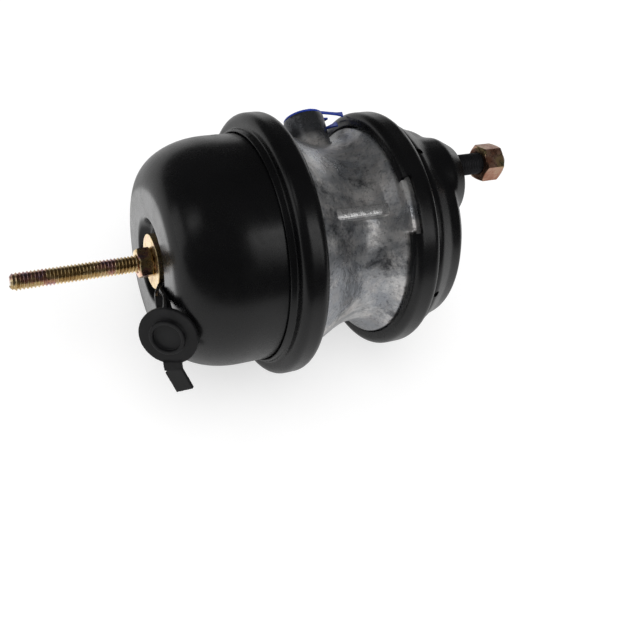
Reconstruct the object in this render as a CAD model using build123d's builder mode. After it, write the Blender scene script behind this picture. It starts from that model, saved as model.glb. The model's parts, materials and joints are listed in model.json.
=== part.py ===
from build123d import *
import math
import os

os.makedirs("parts", exist_ok=True)

# A double-diaphragm spring brake chamber, type 20/24, for an air disc brake, in millimetres.
# The mounting face is the YZ plane, the push rod points along +X and the two studs stand in
# line along Z. Angles round the main axis are measured from +Z toward +Y. The power spring is
# held caged by the release bolt, which stands out of the spring housing.

# Motion and fits
stroke = 57.0
stop_gap = 0.7  # adapter plate to hub at the end of the stroke
running_fit = 0.05  # radial, sliding rod in its bush and screw in its nut
soft_gap = 0.3  # between rubber and what moves against it
sheet = 3.0  # wall of the pressed housings and clamp rings

# Along the axis, from the mounting face toward the spring housing
pad_height = 6.0
service_depth = 44.1
bead = 5.9
cast_flange = 5.2
casting_length = 83.0
service_chamber_depth = 26.0
web = 5.0
spring_depth = 75.2
dish_depth = 8.1

# Spring housing
can_r = 80.4
can_flat_r = 50.2
can_corner = 47.1  # axial length of the rounded corner
dish_floor_r = 26.2
dish_rim_r = 30.0
dish_edge = 1.0  # radial offset of the dish's inner face
end_hole_r = 8.5
drain_r = 2.5
drain_offset = 6.0
drain_depth = 10.0
flare = 6.0  # axial length over which the wall opens to the flange
flare_rise = 0.8

# Service housing and its raised mounting pad
service_wall_r = 80.5
wall_straight = 8.1  # axial length of the wall before it tapers
taper_x, taper_in = 18.5, 6.7  # from the end face, and inward from the wall
waist_step_x, waist_step_in = 8.7, 9.5
crown_x, crown_in = 6.0, 14.0
end_face_in = 21.5
pad_run = 22.0
stud_spacing = 120.65
stud_r = 8.0
stud_reach = 42.0
stud_seat_r = 8.3  # serrated collar, pressed into the pad and the stud plate
thread_r = 7.8
thread_start = 18.0
stud_inset = 14.325  # stud to the centre of the pad's round end
pad_centres = stud_spacing - 2 * stud_inset
pad_top_r = 25.5
pad_base_r = 32.0
pad_slope = 12.0  # axial height of the pad's sloping walls
opening_r = 19.0
stud_plate_thickness = 5.7
stud_plate_gap = 1.0

# Clamp rings, and the flanges that they hold
lip_gap = 2.4
spring_ring_depth = 10.7
spring_lip_straight = 4.2
ring_seat = 2.0
spring_ring_lip_r = can_r + lip_gap
spring_ring_r = spring_ring_lip_r + spring_ring_depth
spring_roll = spring_ring_depth - spring_lip_straight
spring_flange_r = spring_ring_r - sheet - ring_seat
service_lip_gap = 0.5
service_ring_depth = 6.1
service_lip_straight = 0.6
service_ring_seat = 1.6
left_lip_in = 3.2
service_ring_left_lip_r = service_wall_r - left_lip_in
service_ring_right_lip_r = service_wall_r + service_lip_gap
service_ring_r = service_ring_right_lip_r + service_ring_depth
service_roll = service_ring_depth - service_lip_straight
service_flange_r = service_ring_r - sheet - service_ring_seat

# Ports
port_offset = 0.6
port_angle = 70.0
port_spacing = 40.0
boss_r = 15.15
boss_height = 18.4
boss_root = 21.1
port_r = 7.25
port_depth = 15.0
air_way_r = 3.0
air_way_reach = 17.0
spring_way_run = 17.0
service_way_run = 20.0

# Release screw, nut and washer
bolt_r = 6.0
bolt_tip = 92.0  # from the end of the housing
washer_r = 19.0
washer_thickness = 5.0
nut_across_flats = 19.0
nut_height = 10.0

# Rods and plates
hub_length = 10.5
hub_r = 20.0
hub_bore_r = 13.5
rod_r = 11.0
seal_length = 2.6
bush_length = 2.8
retainer_thickness = 1.5
adapter_plate_in = 30.4
adapter_plate_r = can_r - adapter_plate_in
adapter_plate_thickness = 3.5
adapter_pad_r = 28.0
diaphragm = 2.4
plate_thickness = 3.0
push_plate_r = 38.0
push_rod_r = 8.0
push_rod_reach = 15.0
rod_foot, rod_flare = 5.0, 8.0
spring_plate_in = 20.4  # inside the can's outer radius, to pass the casting's waist
spring_plate_r = can_r - spring_plate_in
spring_plate_thickness = 4.0
tube_r = 18.0
tube_wall = 3.0
tube_length = 48.0

# Stations along the axis, each from the one before
service_flange_x = -service_depth
service_bead_x = service_flange_x - sheet
service_casting_x = service_bead_x - bead
service_clamp_x = service_casting_x - cast_flange
spring_casting_x = service_casting_x - casting_length
spring_clamp_x = spring_casting_x + cast_flange
spring_bead_x = spring_casting_x - bead
spring_flange_x = spring_bead_x - sheet
can_end_x = spring_flange_x - spring_depth
dish_x = can_end_x + dish_depth
web_right_x = service_casting_x - service_chamber_depth
web_left_x = web_right_x - web
hub_left_x = web_right_x - hub_length
adapter_right_x = hub_left_x - stop_gap - stroke
adapter_left_x = adapter_right_x - adapter_plate_thickness
parking_rubber_right_x = adapter_left_x - soft_gap
parking_rubber_left_x = parking_rubber_right_x - diaphragm
spring_plate_right_x = parking_rubber_left_x - soft_gap
spring_plate_left_x = spring_plate_right_x - spring_plate_thickness
pad_left_x = web_right_x + soft_gap
pad_right_x = pad_left_x + plate_thickness
service_rubber_left_x = pad_right_x + soft_gap
service_rubber_right_x = service_rubber_left_x + diaphragm
push_plate_left_x = service_rubber_right_x + soft_gap
push_plate_right_x = push_plate_left_x + plate_thickness
end_inner_x = -pad_height - sheet
pad_inner_x = -sheet
nut_right_x = can_end_x
tube_left_x = spring_plate_left_x - tube_length


def meridian(angle, x=0.0):
    """Plane through the main axis: local x along +X, local y outward at this angle."""
    turn = math.radians(angle)
    return Plane(origin=(x, 0, 0), x_dir=(1, 0, 0), z_dir=(0, -math.cos(turn), math.sin(turn)))


def ring_section(left, right, top, left_lip, right_lip, roll):
    """Half of a rolled C-section: open toward the axis, its two lips at their own radii."""
    with BuildSketch(Plane.XY) as section:
        with BuildLine():
            Polyline((left, left_lip), (left, top), (right, top), (right, right_lip),
                     (right - sheet, right_lip), (right - sheet, top - sheet),
                     (left + sheet, top - sheet), (left + sheet, left_lip), close=True)
        make_face()
        outer = [v for v in section.vertices() if v.Y > top - 0.1]
        fillet(outer, roll)
        inner = [v for v in section.vertices()
                 if abs(v.Y - top + sheet) < 0.1 and left + 1 < v.X < right - 1]
        fillet(inner, sheet / 2)
    return section.sketch


# Spring housing: a deep drawn can with a dished end and a flange for the clamp ring
with BuildPart() as spring_housing:
    with BuildSketch(Plane.XY):
        with BuildLine():
            Polyline((can_end_x + can_corner, can_r), (spring_flange_x - flare, can_r),
                     (spring_flange_x - flare / 2, can_r + flare_rise),
                     (spring_flange_x, spring_ring_lip_r - flare_rise / 2),
                     (spring_flange_x, spring_flange_r),
                     (spring_bead_x, spring_flange_r), (spring_bead_x, can_r + sheet / 3),
                     (spring_flange_x - flare + sheet / 3, can_r - sheet),
                     (can_end_x + can_corner, can_r - sheet))
            EllipticalCenterArc((can_end_x + can_corner, can_flat_r), can_corner - sheet,
                                can_r - can_flat_r - sheet, start_angle=90, arc_size=90)
            Polyline((can_end_x + sheet, can_flat_r), (can_end_x + sheet, dish_rim_r + dish_edge),
                     (dish_x + sheet, dish_floor_r + dish_edge), (dish_x + sheet, end_hole_r),
                     (dish_x, end_hole_r), (dish_x, dish_floor_r), (can_end_x, dish_rim_r),
                     (can_end_x, can_flat_r))
            EllipticalCenterArc((can_end_x + can_corner, can_flat_r), can_corner,
                                can_r - can_flat_r, start_angle=90, arc_size=90)
        make_face()
    revolve(axis=Axis.X)
    drain_x = can_end_x + can_corner + drain_offset
    drain_top = Vector(drain_x, can_r + drain_depth / 2, 0)
    with BuildSketch(Plane(origin=meridian(41).from_local_coords(drain_top),
                           z_dir=meridian(41).y_dir)):
        Circle(drain_r)
    extrude(amount=-1.5 * drain_depth, mode=Mode.SUBTRACT)
spring_housing.part.label = "spring_housing"
export_step(spring_housing.part, "parts/spring_housing.step")

# Spring clamp ring: rolled over the housing flange, the diaphragm bead and the casting flange
with BuildPart() as spring_clamp_ring:
    add(ring_section(spring_flange_x - sheet, spring_clamp_x + sheet, spring_ring_r,
                     spring_ring_lip_r, spring_ring_lip_r, spring_roll))
    revolve(axis=Axis.X)
spring_clamp_ring.part.label = "spring_clamp_ring"
export_step(spring_clamp_ring.part, "parts/spring_clamp_ring.step")

# Flange casting: waisted body with a web and hub inside, two port bosses, a rib and a lug
casting_wall = 5.0
waist_offset, waist_in = 5.6, 14.3
waist_x, waist_r = web_left_x - waist_offset, can_r - waist_in
lip_clearance = 0.8
neck_run, neck_drop = 4.8, 2.3
neck_x, neck_r = spring_clamp_x + neck_run, spring_ring_lip_r - neck_drop
barrel_run, barrel_in = 20.8, 6.2
barrel_x, barrel_r = spring_clamp_x + barrel_run, can_r - barrel_in
root_run, root_in = 11.8, 11.5
root_x, root_r = service_clamp_x - root_run, service_wall_r - root_in
shoulder_run = 4.5
shoulder_r = service_ring_left_lip_r - lip_clearance
spring_mouth_in = 3.9
neck_wall, barrel_wall = 5.3, 5.2
web_slope, web_root = 2.4, 13.1
hub_draft = 1.0
service_mouth_in = 7.0
step_run, step_in = 9.0, 10.5
bowl_run, bowl_in = 19.0, 18.0
floor_in = 25.5
rib_angle, rib_width = -27.5, 7.3
rib_start, rib_shelf, rib_end, rib_foot = 10.8, 16.8, 17.8, 9.8
rib_base, rib_peak, rib_left, rib_right, rib_low = 6.1, 10.4, 7.4, 6.4, 1.9
lug_start, lug_sweep, lug_rise, lug_height = -16.3, 25.0, 1.1, 4.3
lug_root_in, notch_root_in = 14.5, 10.5
notch_margin, notch_depth = 1.0, 2.2
port_x = waist_x + port_offset
boss_reach = waist_r + boss_height
port_out = meridian(port_angle).y_dir
port_side = Vector(1, 0, 0).cross(port_out)


def port_plane(side, reach):
    """Plane square to a port's axis at a distance from the main axis, facing outward."""
    centre = Vector(port_x, 0, 0) + port_out * reach + port_side * (side * port_spacing / 2)
    return Plane(origin=centre, x_dir=(1, 0, 0), z_dir=port_out)


with BuildPart() as flange_casting:
    with BuildSketch(Plane.XY):
        with BuildLine():
            Polyline((spring_casting_x, 0), (spring_casting_x, spring_flange_r),
                     (spring_clamp_x, spring_flange_r),
                     (spring_clamp_x, spring_ring_lip_r - lip_clearance), (neck_x, neck_r))
            Spline((neck_x, neck_r), (barrel_x, barrel_r), (waist_x, waist_r), (root_x, root_r))
            Polyline((root_x, root_r), (service_clamp_x - shoulder_run, shoulder_r),
                     (service_clamp_x, shoulder_r),
                     (service_clamp_x, service_flange_r), (service_casting_x, service_flange_r),
                     (service_casting_x, 0), (spring_casting_x, 0))
        make_face()
    revolve(axis=Axis.X)
    for side in (-1, 1):
        with BuildSketch(port_plane(side, waist_r - boss_root)):
            Circle(boss_r)
        extrude(amount=boss_height + boss_root)
    # Stiffening rib along the barrel
    with BuildSketch(meridian(rib_angle)):
        with BuildLine():
            Polyline((spring_clamp_x + rib_start, waist_r - rib_base),
                     (spring_clamp_x + rib_start, waist_r + rib_peak),
                     (spring_clamp_x + rib_shelf, waist_r + rib_left),
                     (service_clamp_x - rib_end, waist_r + rib_right),
                     (service_clamp_x - rib_foot, waist_r + rib_low),
                     (service_clamp_x - rib_foot, waist_r - rib_base), close=True)
        make_face()
    extrude(amount=rib_width / 2, both=True)
    # Lug that fills the notch in the service clamp ring
    with BuildSketch(meridian(lug_start)):
        with Locations((service_clamp_x - lug_height, service_wall_r - lug_root_in)):
            Rectangle(lug_height, service_flange_r + lug_rise - service_wall_r + lug_root_in,
                      align=(Align.MIN, Align.MIN))
    revolve(axis=Axis.X, revolution_arc=lug_sweep)
    # Spring-side chamber, around the hub
    with BuildSketch(Plane.XY):
        with BuildLine():
            Polyline((spring_casting_x, 0), (spring_casting_x, can_r - spring_mouth_in),
                     (neck_x, neck_r - neck_wall), (barrel_x, barrel_r - barrel_wall),
                     (waist_x - web_slope, waist_r - casting_wall), (web_left_x, waist_r - web_root),
                     (web_left_x, hub_r + hub_draft), (hub_left_x, hub_r), (hub_left_x, 0),
                     close=True)
        make_face()
    revolve(axis=Axis.X, mode=Mode.SUBTRACT)
    # Service-side chamber
    with BuildSketch(Plane.XY):
        with BuildLine():
            Polyline((service_casting_x, 0), (service_casting_x, service_wall_r - service_mouth_in),
                     (service_casting_x - step_run, service_wall_r - step_in),
                     (service_casting_x - bowl_run, service_wall_r - bowl_in),
                     (web_right_x, service_wall_r - floor_in), (web_right_x, 0), close=True)
        make_face()
    revolve(axis=Axis.X, mode=Mode.SUBTRACT)
    # Hub bore, with a lip that keeps the outer seal in
    with BuildSketch(Plane.YZ.offset(hub_left_x)):
        Circle(hub_bore_r)
    extrude(amount=2 * seal_length + bush_length + retainer_thickness, mode=Mode.SUBTRACT)
    with BuildSketch(Plane.YZ.offset(hub_left_x)):
        Circle(rod_r + soft_gap)
    extrude(amount=hub_length, mode=Mode.SUBTRACT)
    # Port threads' bores and their air ways, one into each chamber
    for side, way_x in ((-1, -service_way_run), (1, spring_way_run)):
        with BuildSketch(port_plane(side, boss_reach)):
            Circle(port_r)
        extrude(amount=-port_depth, mode=Mode.SUBTRACT)
        foot = port_plane(side, boss_reach - port_depth).origin
        way = Vector(way_x, 0, 0) - port_out * air_way_reach
        with BuildSketch(Plane(origin=foot - way * 0.08, z_dir=way)):
            Circle(air_way_r)
        extrude(amount=way.length * 1.1, mode=Mode.SUBTRACT)
flange_casting.part.label = "flange_casting"
export_step(flange_casting.part, "parts/flange_casting.step")

# Service clamp ring, with a notch in its left lip for the casting's lug
with BuildPart() as service_clamp_ring:
    add(ring_section(service_clamp_x - sheet, service_flange_x + sheet, service_ring_r,
                     service_ring_left_lip_r, service_ring_right_lip_r, service_roll))
    revolve(axis=Axis.X)
    with BuildSketch(meridian(lug_start + notch_margin)):
        with Locations((service_clamp_x + notch_depth, service_wall_r - notch_root_in)):
            Rectangle(4 * sheet, 10 * sheet, align=(Align.MAX, Align.MIN))
    revolve(axis=Axis.X, revolution_arc=lug_sweep + 2 * notch_margin, mode=Mode.SUBTRACT)
service_clamp_ring.part.label = "service_clamp_ring"
export_step(service_clamp_ring.part, "parts/service_clamp_ring.step")


def service_form(inset):
    """The pressed form of the service housing, moved inward by the inset."""
    end_x = -pad_height - inset
    shoulder = 0.4 * inset
    with BuildPart() as form:
        with BuildSketch(Plane.XY):
            with BuildLine():
                Polyline((service_bead_x, 0), (service_bead_x, service_wall_r - inset),
                         (service_flange_x + wall_straight - shoulder, service_wall_r - inset),
                         (-pad_height - taper_x - shoulder, service_wall_r - taper_in - inset),
                         (end_x - waist_step_x, service_wall_r - waist_step_in - inset),
                         (end_x - crown_x, service_wall_r - crown_in - shoulder),
                         (end_x, service_wall_r - end_face_in - shoulder), (end_x, 0),
                         close=True)
            make_face()
        revolve(axis=Axis.X)
        base_x = -pad_slope - shoulder
        with BuildSketch(Plane.YZ.offset(base_x)):
            SlotCenterToCenter(pad_centres, 2 * (pad_base_r - inset), rotation=90)
        extrude(amount=-pad_run)
        with BuildSketch(Plane.YZ.offset(base_x)):
            SlotCenterToCenter(pad_centres, 2 * (pad_base_r - inset), rotation=90)
        with BuildSketch(Plane.YZ.offset(-inset)):
            SlotCenterToCenter(pad_centres, 2 * (pad_top_r - inset), rotation=90)
        loft(ruled=True)
    return form.part


# Service housing: a pressed cup whose end carries a raised racetrack pad for the two studs
with BuildPart() as service_housing:
    add(service_form(0.0))
    with BuildSketch(Plane.YZ.offset(service_bead_x)):
        Circle(service_flange_r)
    extrude(amount=sheet)
    add(service_form(sheet), mode=Mode.SUBTRACT)
    with BuildSketch(Plane.YZ.offset(service_bead_x)):
        Circle(service_wall_r - sheet)
    extrude(amount=sheet, mode=Mode.SUBTRACT)
    with BuildSketch(Plane.YZ.offset(pad_inner_x)):
        Circle(opening_r)
        with Locations((0, stud_spacing / 2), (0, -stud_spacing / 2)):
            Circle(stud_seat_r)
    extrude(amount=sheet, mode=Mode.SUBTRACT)
    for vent_angle in (0, -78, 140):
        outward = meridian(vent_angle)
        vent_at = outward.from_local_coords(
            Vector(service_flange_x + wall_straight, service_wall_r + drain_depth / 2, 0))
        with BuildSketch(Plane(origin=vent_at, z_dir=outward.y_dir)):
            Circle(drain_r)
        extrude(amount=-1.4 * drain_depth, mode=Mode.SUBTRACT)
service_housing.part.label = "service_housing"
export_step(service_housing.part, "parts/service_housing.step")

# Stud plate: a racetrack reinforcement inside the pad that holds the stud heads
with BuildPart() as stud_plate:
    with BuildSketch(Plane.YZ.offset(pad_inner_x)):
        SlotCenterToCenter(pad_centres, 2 * (pad_top_r - sheet - stud_plate_gap), rotation=90)
        Circle(opening_r, mode=Mode.SUBTRACT)
        with Locations((0, stud_spacing / 2), (0, -stud_spacing / 2)):
            Circle(stud_seat_r, mode=Mode.SUBTRACT)
    extrude(amount=-stud_plate_thickness)
stud_plate.part.label = "stud_plate"
export_step(stud_plate.part, "parts/stud_plate.step")

# Mounting studs: headed behind the stud plate, plain up to their thread
head_r, head_thickness, stud_chamfer = 11.0, 3.0, 1.5
with BuildPart() as mounting_studs:
    for z in (-stud_spacing / 2, stud_spacing / 2):
        with BuildSketch(Plane.XY):
            back_x = pad_inner_x - stud_plate_thickness
            with BuildLine():
                Polyline((back_x - head_thickness, 0), (back_x - head_thickness, head_r),
                         (back_x, head_r), (back_x, stud_seat_r), (0, stud_seat_r), (0, stud_r),
                         (thread_start, stud_r), (thread_start, thread_r),
                         (stud_reach - stud_chamfer, thread_r),
                         (stud_reach, thread_r - stud_chamfer),
                         (stud_reach, 0), close=True)
            make_face()
        stud = revolve(axis=Axis.X, mode=Mode.PRIVATE)
        add(stud.moved(Location((0, 0, z))))
mounting_studs.part.label = "mounting_studs"
export_step(mounting_studs.part, "parts/mounting_studs.step")


def hex_nut(across_flats, bore_r, height, start_x, centres, corner_turn):
    """Hexagon nuts along +X from start_x, their corners bevelled at both faces."""
    corner_r = across_flats / math.sqrt(3)
    bevel = 0.13 * across_flats
    with BuildPart() as nuts:
        for y, z in centres:
            with BuildSketch(Plane.YZ.offset(start_x)):
                with Locations((y, z)):
                    RegularPolygon(corner_r, 6, rotation=corner_turn)
                    Circle(bore_r, mode=Mode.SUBTRACT)
            extrude(amount=height)
            rise = bevel * math.tan(math.radians(30))
            with BuildSketch(Plane.XY):
                with BuildLine():
                    Polyline((start_x, corner_r - bevel), (start_x + rise, corner_r),
                             (start_x + rise, corner_r + 2), (start_x - 1, corner_r + 2),
                             (start_x - 1, corner_r - bevel), close=True)
                make_face()
                end_x = start_x + height
                with BuildLine():
                    Polyline((end_x, corner_r - bevel), (end_x - rise, corner_r),
                             (end_x - rise, corner_r + 2), (end_x + 1, corner_r + 2),
                             (end_x + 1, corner_r - bevel), close=True)
                make_face()
            bevels = revolve(axis=Axis.X, mode=Mode.PRIVATE)
            add(bevels.moved(Location((0, y, z))), mode=Mode.SUBTRACT)
    return nuts.part


# Stud nuts, M16, run partly up the studs
stud_nut_start = 21.4
stud_nut_height = 16.0
stud_nut_flats = 24.0
stud_nuts = hex_nut(stud_nut_flats, thread_r, stud_nut_height, stud_nut_start,
                    ((0, stud_spacing / 2), (0, -stud_spacing / 2)), 30)
stud_nuts.label = "stud_nuts"
export_step(stud_nuts, "parts/stud_nuts.step")

# Release washer
with BuildPart() as release_washer:
    with BuildSketch(Plane.YZ.offset(nut_right_x)):
        Circle(washer_r)
        Circle(bolt_r + 0.5, mode=Mode.SUBTRACT)
    extrude(amount=washer_thickness)
    fillet(release_washer.edges().filter_by(GeomType.CIRCLE).sort_by(SortBy.RADIUS)[-2:], 1.0)
release_washer.part.label = "release_washer"
export_step(release_washer.part, "parts/release_washer.step")

# Release nut, seated on the washer
release_nut = hex_nut(nut_across_flats, bolt_r + running_fit, nut_height,
                      nut_right_x - nut_height, ((0, 0),), 0)
release_nut.label = "release_nut"
export_step(release_nut, "parts/release_nut.step")

# Release bolt: a T-bolt whose head sits in the spring plate's tube
bolt_head_r, bolt_head_height, bolt_chamfer = 13.0, 7.0, 1.0
tube_end_wall = 4.0
bolt_head_x = tube_left_x + tube_end_wall
with BuildPart() as release_bolt:
    with BuildSketch(Plane.YZ.offset(can_end_x - bolt_tip)):
        Circle(bolt_r)
    extrude(amount=bolt_head_x - can_end_x + bolt_tip)
    with BuildSketch(Plane.YZ.offset(bolt_head_x)):
        Rectangle(2 * bolt_head_r, 2 * bolt_r)
    extrude(amount=bolt_head_height)
    tip = release_bolt.edges().filter_by(GeomType.CIRCLE).group_by(Axis.X)[0]
    chamfer(tip, bolt_chamfer)
release_bolt.part.label = "release_bolt"
export_step(release_bolt.part, "parts/release_bolt.step")

# Spring plate: a dished disc with a closed central tube that takes the release bolt's head
with BuildPart() as spring_plate:
    with BuildSketch(Plane.XY):
        with BuildLine():
            Polyline((spring_plate_right_x, 0), (spring_plate_right_x, spring_plate_r),
                     (spring_plate_left_x - 3, spring_plate_r),
                     (spring_plate_left_x - 3, spring_plate_r - sheet),
                     (spring_plate_left_x, spring_plate_r - 2 * sheet),
                     (spring_plate_left_x, tube_r), (tube_left_x, tube_r), (tube_left_x, bolt_r + 1),
                     (tube_left_x + tube_end_wall, bolt_r + 1),
                     (tube_left_x + tube_end_wall, tube_r - tube_wall),
                     (spring_plate_left_x, tube_r - tube_wall), (spring_plate_left_x, 0),
                     close=True)
        make_face()
    revolve(axis=Axis.X)
spring_plate.part.label = "spring_plate"
export_step(spring_plate.part, "parts/spring_plate.step")


def coil(wire_r, start_x, end_x, start_r, end_r, turns):
    """A round-wire spring along +X between two seats, its coils changing radius evenly."""
    height = end_x - start_x - 2 * wire_r
    taper = math.degrees(math.atan((end_r - start_r) / height))
    with BuildPart() as spring:
        with BuildLine():
            path = Helix(pitch=height / turns, height=height, radius=start_r,
                         center=(start_x + wire_r, 0, 0), direction=(1, 0, 0), cone_angle=taper)
        with BuildSketch(Plane(origin=path @ 0, z_dir=path % 0)):
            Circle(wire_r)
        sweep(path=path, is_frenet=True)
    return spring.part


power_wire_r = 5.2
seat_gap = 0.1  # a spring's end coil to its seat
power_spring_in = 10.0
power_spring_r = spring_plate_r - power_spring_in
power_spring = coil(power_wire_r, can_end_x + sheet + seat_gap, spring_plate_left_x - seat_gap,
                    power_spring_r, power_spring_r, 4)
power_spring.label = "power_spring"
export_step(power_spring, "parts/power_spring.step")

adapter_spring_wire_r = 1.25
adapter_spring_in, adapter_spring_out = 5.0, 6.0
adapter_return_spring = coil(adapter_spring_wire_r, adapter_right_x + seat_gap,
                             web_left_x - seat_gap, adapter_plate_r - adapter_spring_in,
                             hub_r + adapter_spring_out, 5)
adapter_return_spring.label = "adapter_return_spring"
export_step(adapter_return_spring, "parts/adapter_return_spring.step")

service_spring_wire_r = 1.5
service_spring_in, service_spring_out = 12.0, 34.5
service_return_spring = coil(service_spring_wire_r, push_plate_right_x + seat_gap,
                             end_inner_x - seat_gap, push_plate_r - service_spring_in,
                             service_wall_r - service_spring_out, 4)
service_return_spring.label = "service_return_spring"
export_step(service_return_spring, "parts/service_return_spring.step")


bead_in, rubber_roll, rubber_lift = 0.5, 4.0, 1.0
parking_side_in, parking_centre_in = 8.4, 13.4
service_neck_in, service_side_in, service_centre_in = 6.5, 24.5, 30.5


def rubber_diaphragm(bead_left, bead_right, bead_r, neck_r, left, side_r, centre_r):
    """A moulded diaphragm: clamped bead, rolled side wall and flat centre."""
    mid = (bead_left + bead_right) / 2
    with BuildPart() as rubber:
        with BuildSketch(Plane.XY):
            with BuildLine():
                Polyline((left, 0), (left, centre_r), (left + rubber_roll, side_r), (mid, neck_r),
                         (bead_left, neck_r + 2 * rubber_lift), (bead_left, bead_r),
                         (bead_right, bead_r), (bead_right, neck_r + rubber_lift),
                         (mid + rubber_lift, neck_r - 1.5 * rubber_lift),
                         (left + rubber_roll + rubber_lift, side_r - diaphragm),
                         (left + diaphragm, centre_r - 2 * rubber_lift), (left + diaphragm, 0),
                         close=True)
            make_face()
        revolve(axis=Axis.X)
    return rubber.part


parking_diaphragm = rubber_diaphragm(spring_bead_x, spring_casting_x, spring_flange_r - bead_in,
                                     can_r - spring_mouth_in, parking_rubber_left_x,
                                     can_r - parking_side_in, can_r - parking_centre_in)
parking_diaphragm.label = "parking_diaphragm"
export_step(parking_diaphragm, "parts/parking_diaphragm.step")

service_diaphragm = rubber_diaphragm(service_casting_x, service_bead_x,
                                     service_flange_r - bead_in, service_wall_r - service_neck_in,
                                     service_rubber_left_x, service_wall_r - service_side_in,
                                     service_wall_r - service_centre_in)
service_diaphragm.label = "service_diaphragm"
export_step(service_diaphragm, "parts/service_diaphragm.step")

# Adapter plate, rod and pad: they carry the power spring's push to the service side
with BuildPart() as adapter_plate:
    with BuildSketch(Plane.XY):
        with BuildLine():
            Polyline((adapter_left_x, 0), (adapter_left_x, adapter_plate_r),
                     (adapter_right_x, adapter_plate_r), (adapter_right_x, 0), close=True)
        make_face()
    revolve(axis=Axis.X)
    fillet(adapter_plate.edges().filter_by(GeomType.CIRCLE), 1.2)
adapter_plate.part.label = "adapter_plate"
export_step(adapter_plate.part, "parts/adapter_plate.step")

with BuildPart() as adapter_rod:
    with BuildSketch(Plane.YZ.offset(adapter_right_x)):
        Circle(rod_r)
    extrude(amount=pad_left_x - adapter_right_x)
adapter_rod.part.label = "adapter_rod"
export_step(adapter_rod.part, "parts/adapter_rod.step")

with BuildPart() as adapter_pad:
    with BuildSketch(Plane.YZ.offset(pad_left_x)):
        Circle(adapter_pad_r)
    extrude(amount=plate_thickness)
    fillet(adapter_pad.edges().filter_by(GeomType.CIRCLE), 1.2)
adapter_pad.part.label = "adapter_pad"
export_step(adapter_pad.part, "parts/adapter_pad.step")

# Hub fittings: outer seal, bush, inner seal and the ring that keeps them in
seal_wire_r = (hub_bore_r - rod_r - 2 * running_fit) / 2
inner_seal_x = hub_left_x + retainer_thickness + seal_length / 2
outer_seal_x = inner_seal_x + seal_length + bush_length
with BuildPart() as rod_seals:
    with BuildSketch(Plane.XY):
        with Locations((inner_seal_x, rod_r + running_fit + seal_wire_r),
                       (outer_seal_x, rod_r + running_fit + seal_wire_r)):
            Circle(seal_wire_r)
    revolve(axis=Axis.X)
rod_seals.part.label = "rod_seals"
export_step(rod_seals.part, "parts/rod_seals.step")

with BuildPart() as centre_bush:
    with BuildSketch(Plane.YZ.offset(inner_seal_x + seal_length / 2)):
        Circle(hub_bore_r)
        Circle(rod_r + running_fit, mode=Mode.SUBTRACT)
    extrude(amount=bush_length)
centre_bush.part.label = "centre_bush"
export_step(centre_bush.part, "parts/centre_bush.step")

with BuildPart() as bush_retainer:
    with BuildSketch(Plane.YZ.offset(hub_left_x)):
        Circle(hub_bore_r)
        Circle(rod_r + soft_gap, mode=Mode.SUBTRACT)
    extrude(amount=retainer_thickness)
bush_retainer.part.label = "bush_retainer"
export_step(bush_retainer.part, "parts/bush_retainer.step")

# Push plate and push rod
with BuildPart() as push_plate:
    with BuildSketch(Plane.YZ.offset(push_plate_left_x)):
        Circle(push_plate_r)
    extrude(amount=plate_thickness)
    fillet(push_plate.edges().filter_by(GeomType.CIRCLE), 1.2)
push_plate.part.label = "push_plate"
export_step(push_plate.part, "parts/push_plate.step")

with BuildPart() as push_rod:
    with BuildSketch(Plane.XY):
        with BuildLine():
            Polyline((push_rod_reach, 0), (push_plate_right_x, 0),
                     (push_plate_right_x, push_rod_r + rod_foot),
                     (push_plate_right_x + rod_flare / 2, push_rod_r + rod_foot - sheet / 3),
                     (push_plate_right_x + rod_flare, push_rod_r),
                     (push_rod_reach - push_rod_r, push_rod_r))
            CenterArc((push_rod_reach - push_rod_r, 0), push_rod_r, 0, 90)
        make_face()
    revolve(axis=Axis.X)
push_rod.part.label = "push_rod"
export_step(push_rod.part, "parts/push_rod.step")

# Rubber boot in the mounting opening, and the ring that holds its rim
boot_ring_depth = 5.0
boot_ring_inset = 0.5
boot_rim_r = opening_r - 2.0
with BuildPart() as boot_ring:
    with BuildSketch(Plane.YZ.offset(-boot_ring_inset)):
        Circle(opening_r)
        Circle(boot_rim_r, mode=Mode.SUBTRACT)
    extrude(amount=-boot_ring_depth)
boot_ring.part.label = "boot_ring"
export_step(boot_ring.part, "parts/boot_ring.step")

boot_wall = 1.5
boot_face, boot_fold_back, boot_fold_front = 1.0, 3.5, 2.6
boot_neck_r = push_rod_r + soft_gap
boot_fold_r = (boot_rim_r + boot_neck_r) / 2
with BuildPart() as push_rod_boot:
    with BuildSketch(Plane.XY):
        with BuildLine():
            Polyline((-boot_ring_depth, boot_rim_r), (-boot_face, boot_rim_r),
                     (-boot_face, boot_rim_r - boot_wall), (-boot_fold_back, boot_rim_r - boot_wall),
                     (-boot_face, boot_fold_r), (-boot_fold_back, boot_neck_r + boot_wall),
                     (-boot_face, boot_neck_r + boot_wall), (-boot_face, boot_neck_r),
                     (-boot_ring_depth, boot_neck_r), (-boot_fold_front, boot_fold_r),
                     (-boot_ring_depth, boot_rim_r - boot_wall), close=True)
        make_face()
    revolve(axis=Axis.X)
push_rod_boot.part.label = "push_rod_boot"
export_step(push_rod_boot.part, "parts/push_rod_boot.step")

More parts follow.
